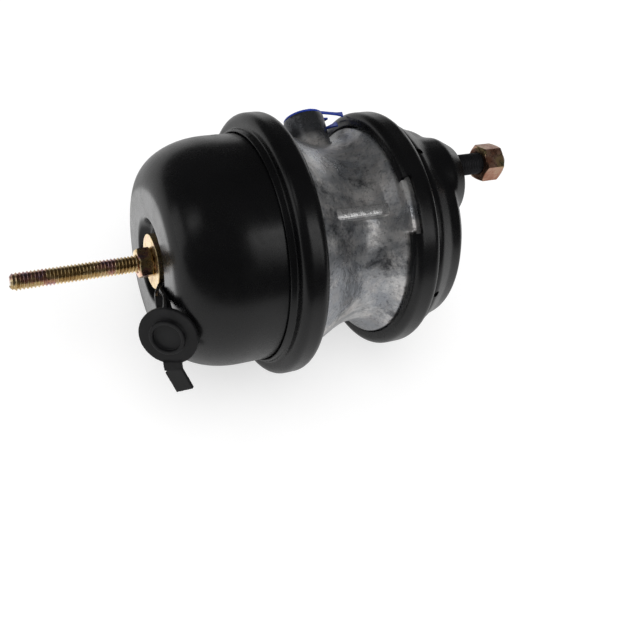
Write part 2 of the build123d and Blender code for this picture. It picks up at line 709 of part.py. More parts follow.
# Dust plug: a loop on the release bolt, a strap over the end of the housing and a hanging plug
loop_r, loop_bore_r, loop_offset = 22.0, 13.5, 5.0
rubber_sheet = 2.5
strap_width = 9.5
plug_r, plug_thickness = 20.0, 3.0
spigot_r, spigot_bore_r, spigot_height = 12.0, 9.5, 2.5
loop_x = dish_x - soft_gap - rubber_sheet / 2
rim_x = can_end_x - 2 * soft_gap - rubber_sheet / 2
strap_root, strap_low, strap_high = 3.0, 4.5, 5.0
strap_bend_y, strap_bend_z, strap_fall = 38.0, 9.0, 0.8
rim_left, rim_right, floor_left, floor_right = 1.5, 2.5, 6.2, 5.7
plug_lift, plug_drop, plug_shift = 6.3, 13.0, 3.2
plug_centre = Vector(can_end_x - plug_lift, -can_flat_r - plug_drop, plug_shift)
plug_normal = Vector(-0.546, -0.644, 0.351).normalized()
tab_way = Vector(0.057, -0.600, -0.798).normalized()
tab_side = plug_normal.cross(tab_way)
tab_width, tab_overlap, tab_leg, tab_length, tab_knee = 12.6, 2.0, 6.5, 17.0, 4.0
strap_end = plug_centre - tab_way * (plug_r - tab_overlap)
with BuildPart() as dust_plug:
    with BuildSketch(Plane.YZ.offset(can_end_x - 12)):
        with Locations((-loop_offset, 0)):
            Circle(loop_r)
        with BuildLine():
            Polyline((-loop_offset - loop_r + strap_root, -strap_low),
                     (-strap_bend_y, strap_bend_z - strap_width / 2),
                     (strap_end.Y, strap_end.Z - strap_width / 2),
                     (strap_end.Y, strap_end.Z + strap_width / 2),
                     (-strap_bend_y, strap_bend_z + strap_width / 2),
                     (-loop_offset - loop_r + strap_root, strap_high), close=True)
        make_face()
        with Locations((-loop_offset, 0)):
            Circle(loop_bore_r, mode=Mode.SUBTRACT)
    extrude(amount=24)
    with BuildSketch(Plane.XY.offset(-40)):
        half = rubber_sheet / 2
        with BuildLine():
            Polyline((loop_x + half, loop_r), (loop_x + half, floor_right - dish_floor_r),
                     (rim_x + half, rim_right - dish_rim_r),
                     (rim_x + half - strap_fall, -strap_bend_y), (strap_end.X + half, strap_end.Y),
                     (strap_end.X - half, strap_end.Y), (rim_x - half - strap_fall, -strap_bend_y),
                     (rim_x - half, rim_left - dish_rim_r),
                     (loop_x - half, floor_left - dish_floor_r), (loop_x - half, loop_r),
                     close=True)
        make_face()
    extrude(amount=80, mode=Mode.INTERSECT)
    face = Plane(origin=plug_centre, x_dir=tab_side, z_dir=plug_normal)
    with BuildSketch(face):
        Circle(plug_r)
    extrude(amount=plug_thickness / 2, both=True)
    with BuildSketch(face.offset(plug_thickness / 2)):
        Circle(spigot_r)
        Circle(spigot_bore_r, mode=Mode.SUBTRACT)
    extrude(amount=spigot_height)
    # Pull tab: a short leg bent back, then a longer one
    knee = plug_centre + tab_way * (plug_r + tab_knee)
    leg_way = (tab_way * 0.94 + Vector(0.34, 0, 0)).normalized()
    with BuildSketch(Plane(origin=plug_centre + tab_way * (plug_r - tab_overlap), x_dir=tab_side,
                           z_dir=tab_way)):
        Rectangle(tab_width, rubber_sheet)
    extrude(amount=tab_leg)
    with BuildSketch(Plane(origin=knee, x_dir=tab_side, z_dir=leg_way)):
        Rectangle(tab_width, rubber_sheet)
    extrude(amount=tab_length)
dust_plug.part.label = "dust_plug"
export_step(dust_plug.part, "parts/dust_plug.step")


plug_shank_wall, plug_rim, plug_rim_in = 1.6, 1.5, 0.6
pull_start, pull_mid, pull_end = -4.0, 16.0, 24.0
pull_root_width, pull_waist_width, pull_end_width, pull_thickness = 4.0, 3.8, 8.4, 1.6


def port_plug(side, turn):
    """Moulded transit plug: shank in the port, thin rim and a flared pull tab."""
    rim = port_plane(side, boss_reach)
    lean = math.radians(turn)
    tab_plane = Plane(origin=rim.offset(plug_rim).origin, z_dir=port_out,
                      x_dir=Vector(math.cos(lean), 0, 0) + port_side * math.sin(lean))
    with BuildPart() as plug:
        with BuildSketch(rim):
            Circle(port_r - running_fit)
            Circle(port_r - plug_shank_wall, mode=Mode.SUBTRACT)
        extrude(amount=-port_depth * 0.6)
        with BuildSketch(rim):
            Circle(boss_r - plug_rim_in)
        extrude(amount=plug_rim)
        with BuildSketch(tab_plane):
            with BuildLine():
                Polyline((pull_start, -pull_root_width / 2), (pull_mid, -pull_waist_width / 2),
                         (pull_end, -pull_end_width / 2), (pull_end, pull_end_width / 2),
                         (pull_mid, pull_waist_width / 2), (pull_start, pull_root_width / 2),
                         close=True)
            make_face()
        extrude(amount=pull_thickness)
    return plug.part


spring_port_plug = port_plug(1, -23.5)
spring_port_plug.label = "spring_port_plug"
export_step(spring_port_plug, "parts/spring_port_plug.step")

service_port_plug = port_plug(-1, 22.0)
service_port_plug.label = "service_port_plug"
export_step(service_port_plug, "parts/service_port_plug.step")
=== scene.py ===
"""Looks of a double-diaphragm spring brake chamber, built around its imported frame."""

import json
import logging
import math
from dataclasses import dataclass, field
from enum import Enum

import bmesh
import bpy
import numpy as np
from mathutils import Matrix, Vector

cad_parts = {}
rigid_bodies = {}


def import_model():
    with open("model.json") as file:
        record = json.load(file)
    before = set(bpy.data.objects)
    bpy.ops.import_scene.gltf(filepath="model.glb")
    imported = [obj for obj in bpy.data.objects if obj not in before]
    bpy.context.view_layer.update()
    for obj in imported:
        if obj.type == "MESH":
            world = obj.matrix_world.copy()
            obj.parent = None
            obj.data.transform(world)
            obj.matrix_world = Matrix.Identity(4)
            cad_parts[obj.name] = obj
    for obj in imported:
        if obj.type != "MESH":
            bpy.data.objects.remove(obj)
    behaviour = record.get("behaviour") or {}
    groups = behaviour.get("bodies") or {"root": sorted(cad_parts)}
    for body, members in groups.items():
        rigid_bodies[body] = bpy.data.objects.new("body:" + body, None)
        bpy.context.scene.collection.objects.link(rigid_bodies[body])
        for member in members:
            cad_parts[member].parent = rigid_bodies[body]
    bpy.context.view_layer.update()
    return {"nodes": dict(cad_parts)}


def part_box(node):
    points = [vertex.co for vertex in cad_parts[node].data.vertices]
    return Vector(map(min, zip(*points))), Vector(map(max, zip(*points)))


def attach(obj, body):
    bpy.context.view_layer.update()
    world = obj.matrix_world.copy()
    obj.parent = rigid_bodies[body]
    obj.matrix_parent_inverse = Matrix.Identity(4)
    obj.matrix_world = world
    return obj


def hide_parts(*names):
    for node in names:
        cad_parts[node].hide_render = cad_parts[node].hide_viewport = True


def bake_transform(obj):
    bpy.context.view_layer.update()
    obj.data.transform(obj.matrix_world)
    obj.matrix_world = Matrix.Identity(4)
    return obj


LOG = logging.getLogger("brake_chamber")
MM = 0.001
MERGE = 1e-6
Colour = tuple[float, float, float]
Point = tuple[float, float, float]
Profile = list[tuple[float, float]]


# ---------------------------------------------------------------- materials


def add_node(
    tree: bpy.types.NodeTree, kind: str, inputs: dict | None = None, **settings: object
) -> bpy.types.Node:
    """Add a node to a tree, with its properties set and its inputs set or joined.

    Args:
        tree: The node tree.
        kind: The node's type.
        inputs: A constant or another node's socket for each input, by name or number.
        settings: The node's own properties.

    Returns:
        The new node.
    """
    node = tree.nodes.new(kind)
    for key, value in settings.items():
        setattr(node, key, value)
    for key, value in (inputs or {}).items():
        if isinstance(value, bpy.types.NodeSocket):
            tree.links.new(value, node.inputs[key])
        else:
            node.inputs[key].default_value = value
    return node


class Graph:
    """A material and short ways to add and join its nodes."""

    def __init__(self, name: str) -> None:
        """Make an empty node material with an output and a Principled shader.

        Args:
            name: The material's name.
        """
        self.material = bpy.data.materials.new(name)
        self.material.use_nodes = True
        self.tree = self.material.node_tree
        self.shader = self.tree.nodes["Principled BSDF"]
        self.coords = self.tree.nodes.new("ShaderNodeTexCoord").outputs["Object"]

    def set(self, **values: object) -> None:
        """Set constant values on the shader's own sockets, with _ for spaces."""
        for key, value in values.items():
            self.shader.inputs[key.replace("_", " ")].default_value = value

    def noise(
        self, scale: float, detail: float = 4.0, rough: float = 0.55, stretch: Point = (1, 1, 1)
    ) -> bpy.types.NodeSocket:
        """Noise on Object coordinates.

        Args:
            scale: Cells per metre.
            detail: Number of octaves.
            rough: How strong the finer octaves are.
            stretch: Scale of the coordinates along X, Y and Z.

        Returns:
            The noise value's socket.
        """
        mapping = add_node(self.tree, "ShaderNodeMapping", {"Vector": self.coords, "Scale": stretch})
        sizes = {"Scale": scale, "Detail": detail, "Roughness": rough}
        vector = {"Vector": mapping.outputs["Vector"]}
        return add_node(self.tree, "ShaderNodeTexNoise", sizes | vector).outputs["Fac"]

    def ramp(self, source: bpy.types.NodeSocket, stops: list[tuple[float, Colour]]) -> bpy.types.NodeSocket:
        """Turn a value into colour stops.

        Args:
            source: The value.
            stops: Position and linear colour of each stop.

        Returns:
            The colour socket.
        """
        node = add_node(self.tree, "ShaderNodeValToRGB", {"Fac": source})
        elements = node.color_ramp.elements
        while len(elements) < len(stops):
            elements.new(0.5)
        for element, (place, colour) in zip(elements, stops):
            element.position = place
            element.color = (*colour, 1.0)
        return node.outputs["Color"]

    def span(
        self, source: bpy.types.NodeSocket, low: float, high: float, to: tuple[float, float]
    ) -> bpy.types.NodeSocket:
        """Map a value's range onto another, clamped.

        Args:
            source: The value.
            low: Where the source range starts.
            high: Where the source range ends.
            to: The two values that it becomes.

        Returns:
            The mapped value's socket.
        """
        ends = {"From Min": low, "From Max": high, "To Min": to[0], "To Max": to[1]}
        return add_node(self.tree, "ShaderNodeMapRange", {"Value": source} | ends).outputs["Result"]

    def blend(self, fac: bpy.types.NodeSocket, one: object, two: object) -> bpy.types.NodeSocket:
        """Mix two colours by a value.

        Args:
            fac: The share of the second colour.
            one: A colour socket or a linear colour.
            two: A colour socket or a linear colour.

        Returns:
            The mixed colour's socket.
        """
        first, second = ((*c, 1.0) if isinstance(c, tuple) else c for c in (one, two))
        colours = {"Factor": fac, 6: first, 7: second}
        return add_node(self.tree, "ShaderNodeMix", colours, data_type="RGBA").outputs[2]

    def bump(self, height: bpy.types.NodeSocket, distance: float, strength: float = 1.0) -> None:
        """Add a bump to the shader's normal, on top of any bump already there.

        Args:
            height: The height value, 0 to 1.
            distance: The height of 1, in metres.
            strength: Share of the bump that shows.
        """
        sizes = {"Distance": distance, "Strength": strength, "Height": height}
        node = add_node(self.tree, "ShaderNodeBump", sizes)
        normal = self.shader.inputs["Normal"]
        if normal.is_linked:
            self.tree.links.new(normal.links[0].from_socket, node.inputs["Normal"])
        self.tree.links.new(node.outputs["Normal"], normal)

    def along(self, way: Point) -> bpy.types.NodeSocket:
        """Distance of the shaded point along a direction, in metres."""
        inputs = {0: self.coords, 1: way}
        return add_node(self.tree, "ShaderNodeVectorMath", inputs, operation="DOT_PRODUCT").outputs["Value"]

    def feed(self, socket: str, source: bpy.types.NodeSocket) -> None:
        """Join a value or colour to one of the shader's sockets."""
        self.tree.links.new(source, self.shader.inputs[socket])


@dataclass(frozen=True)
class GlossPaint:
    """Black stoved paint on pressed steel: smooth, with faint ripple and dust."""

    name: str = "black_gloss_paint"
    colour: Colour = (0.0018, 0.0018, 0.0021)
    faded: Colour = (0.0035, 0.0035, 0.004)
    gloss: float = 0.25

    def make(self) -> bpy.types.Material:
        """Build the paint's material."""
        graph = Graph(self.name)
        graph.set(IOR=1.46)
        dust = graph.noise(90, 6, 0.7)
        tone = graph.span(graph.noise(14, 3), 0.4, 0.7, (0.0, 1.0))
        graph.feed("Base Color", graph.blend(tone, self.colour, self.faded))
        graph.feed("Roughness", graph.span(dust, 0.35, 0.7, (self.gloss - 0.03, self.gloss + 0.07)))
        graph.bump(graph.noise(35, 2), 0.00022, 0.35)
        graph.bump(graph.noise(1400, 2), 0.00001, 0.5)
        return graph.material


@dataclass(frozen=True)
class CastAlloy:
    """Raw die-cast aluminium: mottled grey, with flow marks, dark stains, a fine grain and painted shade on
    the port boss.
    """

    name: str = "raw_cast_alloy"
    pale: Colour = (0.82, 0.81, 0.80)
    middle: Colour = (0.34, 0.355, 0.38)
    dark: Colour = (0.06, 0.063, 0.07)
    warm_pale: Colour = (0.80, 0.755, 0.725)
    warm_middle: Colour = (0.42, 0.40, 0.39)
    boss_way: Point = (0.0, 0.93969, 0.34202)
    boss_foot: float = 0.063
    boss_blend: float = 0.006
    stain: float = 0.85

    def make(self) -> bpy.types.Material:
        """Build the casting's material."""
        graph = Graph(self.name)
        graph.set(Metallic=0.88, IOR=1.45)
        clouds = graph.span(graph.noise(26, 8, 0.66), 0.43, 0.58, (0.0, 1.0))
        flow = graph.span(graph.noise(38, 7, 0.78, (0.5, 2.0, 2.0)), 0.46, 0.60, (0.0, 1.0))
        speckle = graph.span(graph.noise(420, 4, 0.7), 0.54, 0.66, (0.0, 0.5))
        warm = graph.span(graph.noise(60, 6, 0.75), 0.45, 0.6, (0.0, 0.6))
        tone = graph.blend(clouds, self.middle, self.pale)
        tone = graph.blend(warm, tone, graph.blend(clouds, self.warm_middle, self.warm_pale))
        tone = graph.blend(graph.span(flow, 0.0, 1.0, (0.0, 0.7)), tone, self.middle)
        stains = graph.span(graph.noise(20, 9, 0.78), 0.52, 0.62, (0.0, self.stain))
        tone = graph.blend(stains, tone, self.dark)
        tone = graph.blend(speckle, tone, self.dark)
        # Painted shade: past boss_foot along boss_way the colour blends toward the dark colour. This stands
        # in for the boss's dark reflection.
        reach = graph.along(self.boss_way)
        painted_boss_shade = graph.span(reach, self.boss_foot, self.boss_foot + self.boss_blend, (0.0, 0.8))
        graph.feed("Base Color", graph.blend(painted_boss_shade, tone, self.dark))
        graph.feed("Roughness", graph.span(clouds, 0.0, 1.0, (0.26, 0.42)))
        graph.bump(graph.noise(48, 5, 0.6), 0.0016, 0.7)
        graph.bump(graph.noise(700, 3, 0.65), 0.00009, 0.8)
        return graph.material


class Zinc(Enum):
    """Tints of a passivated zinc plate, as its colour stops."""

    YELLOW = (
        (0.0, (0.36, 0.22, 0.10)),
        (0.3, (0.62, 0.44, 0.20)),
        (0.5, (0.72, 0.58, 0.34)),
        (0.66, (0.62, 0.34, 0.26)),
        (0.82, (0.40, 0.28, 0.34)),
        (1.0, (0.52, 0.50, 0.28)),
    )
    BRONZE = (
        (0.0, (0.22, 0.09, 0.06)),
        (0.3, (0.42, 0.20, 0.13)),
        (0.5, (0.58, 0.36, 0.26)),
        (0.66, (0.50, 0.36, 0.18)),
        (0.82, (0.26, 0.28, 0.17)),
        (1.0, (0.56, 0.38, 0.30)),
    )


@dataclass(frozen=True)
class IridescentZinc:
    """Zinc plate with a thin chromate film whose colour drifts over the surface."""

    name: str
    tint: Zinc
    drift: float = 60.0

    def make(self) -> bpy.types.Material:
        """Build the plating's material."""
        graph = Graph(self.name)
        graph.set(Metallic=1.0)
        film = graph.span(graph.noise(self.drift, 3, 0.6), 0.25, 0.75, (0.0, 1.0))
        graph.feed("Base Color", graph.ramp(film, list(self.tint.value)))
        graph.feed("Roughness", graph.span(graph.noise(350, 4), 0.3, 0.7, (0.2, 0.42)))
        graph.bump(graph.noise(500, 3), 0.00003, 0.6)
        return graph.material


@dataclass(frozen=True)
class Steel:
    """Plain or dark steel, turned or drawn, with fine marks round the axis."""

    name: str
    colour: Colour = (0.42, 0.42, 0.43)
    rough: float = 0.35
    metal: float = 1.0

    def make(self) -> bpy.types.Material:
        """Build the steel's material."""
        graph = Graph(self.name)
        graph.set(Metallic=self.metal)
        worn = tuple(min(1.0, 1.35 * c + 0.01) for c in self.colour)
        marks = graph.noise(120, 5, 0.6, (6, 1, 1))
        graph.feed("Base Color", graph.blend(graph.span(marks, 0.35, 0.7, (0.0, 1.0)), self.colour, worn))
        graph.feed("Roughness", graph.span(marks, 0.3, 0.7, (self.rough, self.rough + 0.15)))
        graph.bump(graph.noise(400, 3, 0.6, (4, 1, 1)), 0.00003, 0.6)
        return graph.material


@dataclass(frozen=True)
class MatteRubber:
    """Moulded black rubber: matte, slightly dusty, with a fine grain."""

    name: str = "matte_black_rubber"
    colour: Colour = (0.004, 0.004, 0.0045)
    bloom: Colour = (0.013, 0.013, 0.014)

    def make(self) -> bpy.types.Material:
        """Build the rubber's material."""
        graph = Graph(self.name)
        graph.set(IOR=1.45, Specular_IOR_Level=0.45)
        dust = graph.span(graph.noise(70, 6, 0.65), 0.42, 0.72, (0.0, 1.0))
        graph.feed("Base Color", graph.blend(dust, self.colour, self.bloom))
        graph.feed("Roughness", graph.span(dust, 0.0, 1.0, (0.42, 0.6)))
        graph.bump(graph.noise(1100, 3), 0.00003, 0.7)
        graph.bump(graph.noise(110, 3), 0.0002, 0.35)
        return graph.material


@dataclass(frozen=True)
class SatinPlastic:
    """Moulded plastic with a soft sheen and faint flow marks."""

    name: str
    colour: Colour = (0.006, 0.03, 0.26)

    def make(self) -> bpy.types.Material:
        """Build the plastic's material."""
        graph = Graph(self.name)
        graph.set(IOR=1.48)
        lighter = tuple(min(1.0, 1.5 * c + 0.004) for c in self.colour)
        flow = graph.span(graph.noise(80, 3), 0.35, 0.7, (0.0, 1.0))
        graph.feed("Base Color", graph.blend(flow, self.colour, lighter))
        graph.feed("Roughness", graph.span(graph.noise(200, 3), 0.3, 0.7, (0.28, 0.42)))
        graph.bump(graph.noise(600, 2), 0.00002, 0.5)
        return graph.material


# ---------------------------------------------------------------- mesh tools


def placed(name: str, data: bpy.types.ID) -> bpy.types.Object:
    """Put new data into the scene as an object at the origin."""
    thing = bpy.data.objects.new(name, data)
    bpy.context.scene.collection.objects.link(thing)
    return thing


def rounded(points: Profile, step: float, radius: float, closed: bool = False) -> Profile:
    """Resample a profile evenly and round its corners.

    Args:
        points: Corners as (x, r) in millimetres.
        step: Spacing of the new points.
        radius: Size of the rounding at each corner, in millimetres.
        closed: Whether the last point joins the first.

    Returns:
        The rounded profile.
    """
    line = np.array(points + points[:1] if closed else points, float)
    runs = np.linalg.norm(np.diff(line, axis=0), axis=1)
    along = np.concatenate([[0.0], np.cumsum(runs)])
    count = max(8, int(round(along[-1] / step)))
    places = np.linspace(0, along[-1], count + 1)
    even = np.column_stack([np.interp(places, along, line[:, k]) for k in (0, 1)])
    reach = max(1, int(round(2.2 * radius / step)))
    weights = np.exp(-0.5 * (np.arange(-reach, reach + 1) * step / (0.75 * radius)) ** 2)
    weights /= weights.sum()
    if closed:
        even = even[:-1]
        padded = np.concatenate([even[-reach:], even, even[:reach]])
    else:
        head = 2 * even[0] - even[reach:0:-1]
        tail = 2 * even[-1] - even[-2 : -reach - 2 : -1]
        padded = np.concatenate([head, even, tail])
    smooth = np.column_stack([np.convolve(padded[:, k], weights, "valid") for k in (0, 1)])
    return [tuple(p) for p in smooth]


def surface(name: str, grid: np.ndarray, close_rows: bool, close_columns: bool) -> bpy.types.Object:
    """Make a mesh from a grid of points in millimetres.

    Args:
        name: The object's name.
        grid: Points as rows by columns by three.
        close_rows: Whether the last row joins the first.
        close_columns: Whether the last column joins the first.

    Returns:
        The new object, smooth shaded, with merged doubles and faces that point outward.
    """
    rows, columns = grid.shape[:2]
    faces = []
    for i in range(rows if close_rows else rows - 1):
        for j in range(columns if close_columns else columns - 1):
            a, b = i * columns + j, i * columns + (j + 1) % columns
            c, d = ((i + 1) % rows) * columns + (j + 1) % columns, ((i + 1) % rows) * columns + j
            faces.append((a, b, c, d))
    mesh = bpy.data.meshes.new(name)
    mesh.from_pydata([tuple(p) for p in grid.reshape(-1, 3) * MM], [], faces)
    piece = placed(name, mesh)
    tidy_mesh(piece)
    return piece


def tidy_mesh(piece: bpy.types.Object) -> None:
    """Merge doubles, fill open rims, turn the faces outward and shade them smooth."""
    bm = bmesh.new()
    bm.from_mesh(piece.data)
    bmesh.ops.remove_doubles(bm, verts=bm.verts, dist=MERGE)
    rims = [e for e in bm.edges if e.is_boundary]
    if rims:
        bmesh.ops.holes_fill(bm, edges=rims, sides=0)
    bmesh.ops.recalc_face_normals(bm, faces=bm.faces)
    for face in bm.faces:
        face.smooth = True
    bm.to_mesh(piece.data)
    bm.free()


def lathe(name: str, profile: Profile, segments: int = 192, closed: bool = True) -> bpy.types.Object:
    """Turn a profile round the X axis.

    Args:
        name: The object's name.
        profile: Points as (x, r) in millimetres.
        segments: Number of divisions round the axis.
        closed: Whether the profile is a closed loop.

    Returns:
        The turned object.
    """
    line = np.array(profile)
    angles = np.linspace(0, 2 * math.pi, segments, endpoint=False)
    grid = np.zeros((segments, len(line), 3))
    grid[:, :, 0] = line[:, 0]
    grid[:, :, 1] = np.outer(np.sin(angles), line[:, 1])
    grid[:, :, 2] = np.outer(np.cos(angles), line[:, 1])
    return surface(name, grid, True, closed)


def apply_modifiers(piece: bpy.types.Object) -> bpy.types.Object:
    """Replace the piece's mesh by its evaluated one and drop its modifiers."""
    bpy.context.view_layer.update()
    graph = bpy.context.evaluated_depsgraph_get()
    mesh = bpy.data.meshes.new_from_object(piece.evaluated_get(graph))
    piece.modifiers.clear()
    piece.data = mesh
    return piece


def cut(piece: bpy.types.Object, tool: bpy.types.Object) -> None:
    """Cut the tool's form out of a piece and delete the tool."""
    modifier = piece.modifiers.new("cut", "BOOLEAN")
    modifier.operation = "DIFFERENCE"
    modifier.solver = "EXACT"
    modifier.object = tool
    apply_modifiers(piece)
    bpy.data.objects.remove(tool)


def shade_smooth(piece: bpy.types.Object) -> None:
    """Shade every face of a piece smooth."""
    for polygon in piece.data.polygons:
        polygon.use_smooth = True


def shade_by_angle(piece: bpy.types.Object, degrees: float = 35.0) -> None:
    """Shade smooth, but keep edges sharper than the angle hard."""
    shade_smooth(piece)
    piece.data.set_sharp_from_angle(angle=math.radians(degrees))


def bar(name: str, radius: float, start: Vector, end: Vector, segments: int = 32) -> bpy.types.Object:
    """A plain cylinder between two points in millimetres, used as a cutting tool."""
    bm = bmesh.new()
    length = (end - start).length
    bmesh.ops.create_cone(
        bm, cap_ends=True, segments=segments, radius1=radius * MM, radius2=radius * MM, depth=length * MM
    )
    turn = Vector((0, 0, 1)).rotation_difference(end - start).to_matrix().to_4x4()
    bmesh.ops.transform(bm, matrix=Matrix.Translation((start + end) / 2 * MM) @ turn, verts=bm.verts)
    mesh = bpy.data.meshes.new(name)
    bm.to_mesh(mesh)
    bm.free()
    return placed(name, mesh)


def outward(angle: float) -> Vector:
    """Unit vector square to the main axis, at an angle from +Z toward +Y in degrees."""
    turn = math.radians(angle)
    return Vector((0, math.sin(turn), math.cos(turn)))


def join(name: str, pieces: list[bpy.types.Object]) -> bpy.types.Object:
    """Join several meshes into one object with the given name."""
    bm = bmesh.new()
    for piece in pieces:
        bm.from_mesh(piece.data)
    mesh = bpy.data.meshes.new(name)
    bm.to_mesh(mesh)
    bm.free()
    for piece in pieces:
        bpy.data.objects.remove(piece)
    return placed(name, mesh)


def from_node(name: str, source: bpy.types.Object) -> bpy.types.Object:
    """A merged copy of a CAD node's mesh, as a start for a finer piece.

    Args:
        name: The new object's name.
        source: The CAD node's object.

    Returns:
        The copy.
    """
    mesh = source.data.copy()
    mesh.materials.clear()
    piece = placed(name, mesh)
    bm = bmesh.new()
    bm.from_mesh(mesh)
    bmesh.ops.remove_doubles(bm, verts=bm.verts, dist=MERGE)
    bm.to_mesh(mesh)
    bm.free()
    return piece


def finish_piece(
    piece: bpy.types.Object, material: bpy.types.Material, body: str, node: str
) -> bpy.types.Object:
    """Dress a piece and tie it to the frame.

    Args:
        piece: The finished mesh object.
        material: Its material.
        body: The frame body that it rides on.
        node: The frame node that it stands for, or nothing for an added detail.

    Returns:
        The piece.
    """
    piece.data.materials.clear()
    piece.data.materials.append(material)
    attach(piece, body)
    if node:
        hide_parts(node)
    LOG.info("%s: %d faces, stands for %s", piece.name, len(piece.data.polygons), node or "a detail")
    return piece


# ---------------------------------------------------------------- thread


class ThreadTree:
    """Geometry Nodes tree of a screw thread: one ridge wound along a helix."""

    def __init__(self) -> None:
        """Build the tree once; each thread sets its own sizes on it."""
        self.tree = bpy.data.node_groups.new("thread_ridge", "GeometryNodeTree")
        face = self.tree.interface
        self.ids: dict[str, str] = {}
        face.new_socket("Geometry", in_out="INPUT", socket_type="NodeSocketGeometry")
        for key in ("Root Radius", "Pitch", "Turns", "Depth", "Start"):
            item = face.new_socket(key, in_out="INPUT", socket_type="NodeSocketFloat")
            self.ids[key] = item.identifier
        item = face.new_socket("Finish", in_out="INPUT", socket_type="NodeSocketMaterial")
        self.ids["Finish"] = item.identifier
        face.new_socket("Geometry", in_out="OUTPUT", socket_type="NodeSocketGeometry")
        self._wire()

    def _maths(self, operation: str, one: object, two: object = 0.0) -> bpy.types.NodeSocket:
        """Add a Math node on sockets or numbers and return its result."""
        return add_node(self.tree, "ShaderNodeMath", {0: one, 1: two}, operation=operation).outputs[0]

    def _vector(self, operation: str, inputs: dict) -> bpy.types.NodeSocket:
        """Add a Vector Math node and return its vector."""
        return add_node(self.tree, "ShaderNodeVectorMath", inputs, operation=operation).outputs[0]

    def _shape(self, kind: str, inputs: dict, **settings: object) -> bpy.types.NodeSocket:
        """Add a geometry node and return its first output."""
        return add_node(self.tree, "GeometryNode" + kind, inputs, **settings).outputs[0]

    def _wire(self) -> None:
        """Lay the spiral, sweep the ridge section along it and sink its two ends."""
        given = add_node(self.tree, "NodeGroupInput").outputs
        radius, turns, pitch, depth = (given[k] for k in ("Root Radius", "Turns", "Pitch", "Depth"))
        height = self._maths("MULTIPLY", pitch, turns)
        spiral = {"Resolution": 40, "Rotations": turns, "Height": height}
        curve = self._shape("CurveSpiral", spiral | {"Start Radius": radius, "End Radius": radius})
        factor = self._shape("SplineParameter", {})
        ends = self._maths("MINIMUM", factor, self._maths("SUBTRACT", 1.0, factor))
        run_out = self._maths("DIVIDE", 0.8, turns)
        shown = self._maths("MINIMUM", self._maths("DIVIDE", ends, run_out), 1.0)
        sink = self._maths("MULTIPLY", self._maths("SUBTRACT", shown, 1.0), depth)
        flat = self._vector("MULTIPLY", {0: self._shape("InputPosition", {}), 1: (1, 1, 0)})
        inward = self._vector("SCALE", {0: self._vector("NORMALIZE", {0: flat}), "Scale": sink})
        moved = self._shape("SetPosition", {"Geometry": curve, "Offset": inward})
        upright = self._shape("SetCurveNormal", {"Curve": moved}, mode="Z_UP")
        square = {"Width": 1.0, "Height": 1.0}
        section = self._shape("CurvePrimitiveQuadrilateral", square, mode="RECTANGLE")
        turned = self._shape("Transform", {"Geometry": section, "Rotation": (0, 0, math.radians(45))})
        wide = self._maths("MULTIPLY", depth, math.sqrt(2))
        high = self._maths("MULTIPLY", pitch, 0.68)
        size = add_node(self.tree, "ShaderNodeCombineXYZ", {"X": wide, "Y": high, "Z": 1.0}).outputs[0]
        sized = self._shape("Transform", {"Geometry": turned, "Scale": size})
        sweep = {"Curve": upright, "Profile Curve": sized, "Fill Caps": True}
        shift = add_node(self.tree, "ShaderNodeCombineXYZ", {"X": given["Start"]}).outputs[0]
        lay = {"Translation": shift, "Rotation": (0, math.radians(90), 0)}
        laid = self._shape("Transform", {"Geometry": self._shape("CurveToMesh", sweep)} | lay)
        real = self._shape("RealizeInstances", {"Geometry": laid})
        done = self._shape("SetMaterial", {"Geometry": real, "Material": given["Finish"]})
        add_node(self.tree, "NodeGroupOutput", {"Geometry": done})

    def ridge(
        self, name: str, crest_r: float, pitch: float, depth: float, start: float, end: float,
        material: bpy.types.Material,
    ) -> bpy.types.Object:
        """Make a thread's ridge along +X.

        Args:
            name: The object's name.
            crest_r: Radius over the crests, in millimetres.
            pitch: Distance between crests, in millimetres.
            depth: Height of the ridge, in millimetres.
            start: Where the thread starts along X, in millimetres.
            end: Where the thread ends along X, in millimetres.
            material: The finish.

        Returns:
            The ridge as a plain mesh object.
        """
        piece = placed(name, bpy.data.meshes.new(name))
        modifier = piece.modifiers.new("thread", "NODES")
        modifier.node_group = self.tree
        sizes = {
            "Root Radius": (crest_r - depth) * MM,
            "Pitch": pitch * MM,
            "Turns": (end - start) / pitch,
            "Depth": depth * MM,
            "Start": start * MM,
        }
        for key, value in sizes.items():
            modifier[self.ids[key]] = float(value)
        modifier[self.ids["Finish"]] = material
        return apply_modifiers(piece)


# ---------------------------------------------------------------- pressed steel


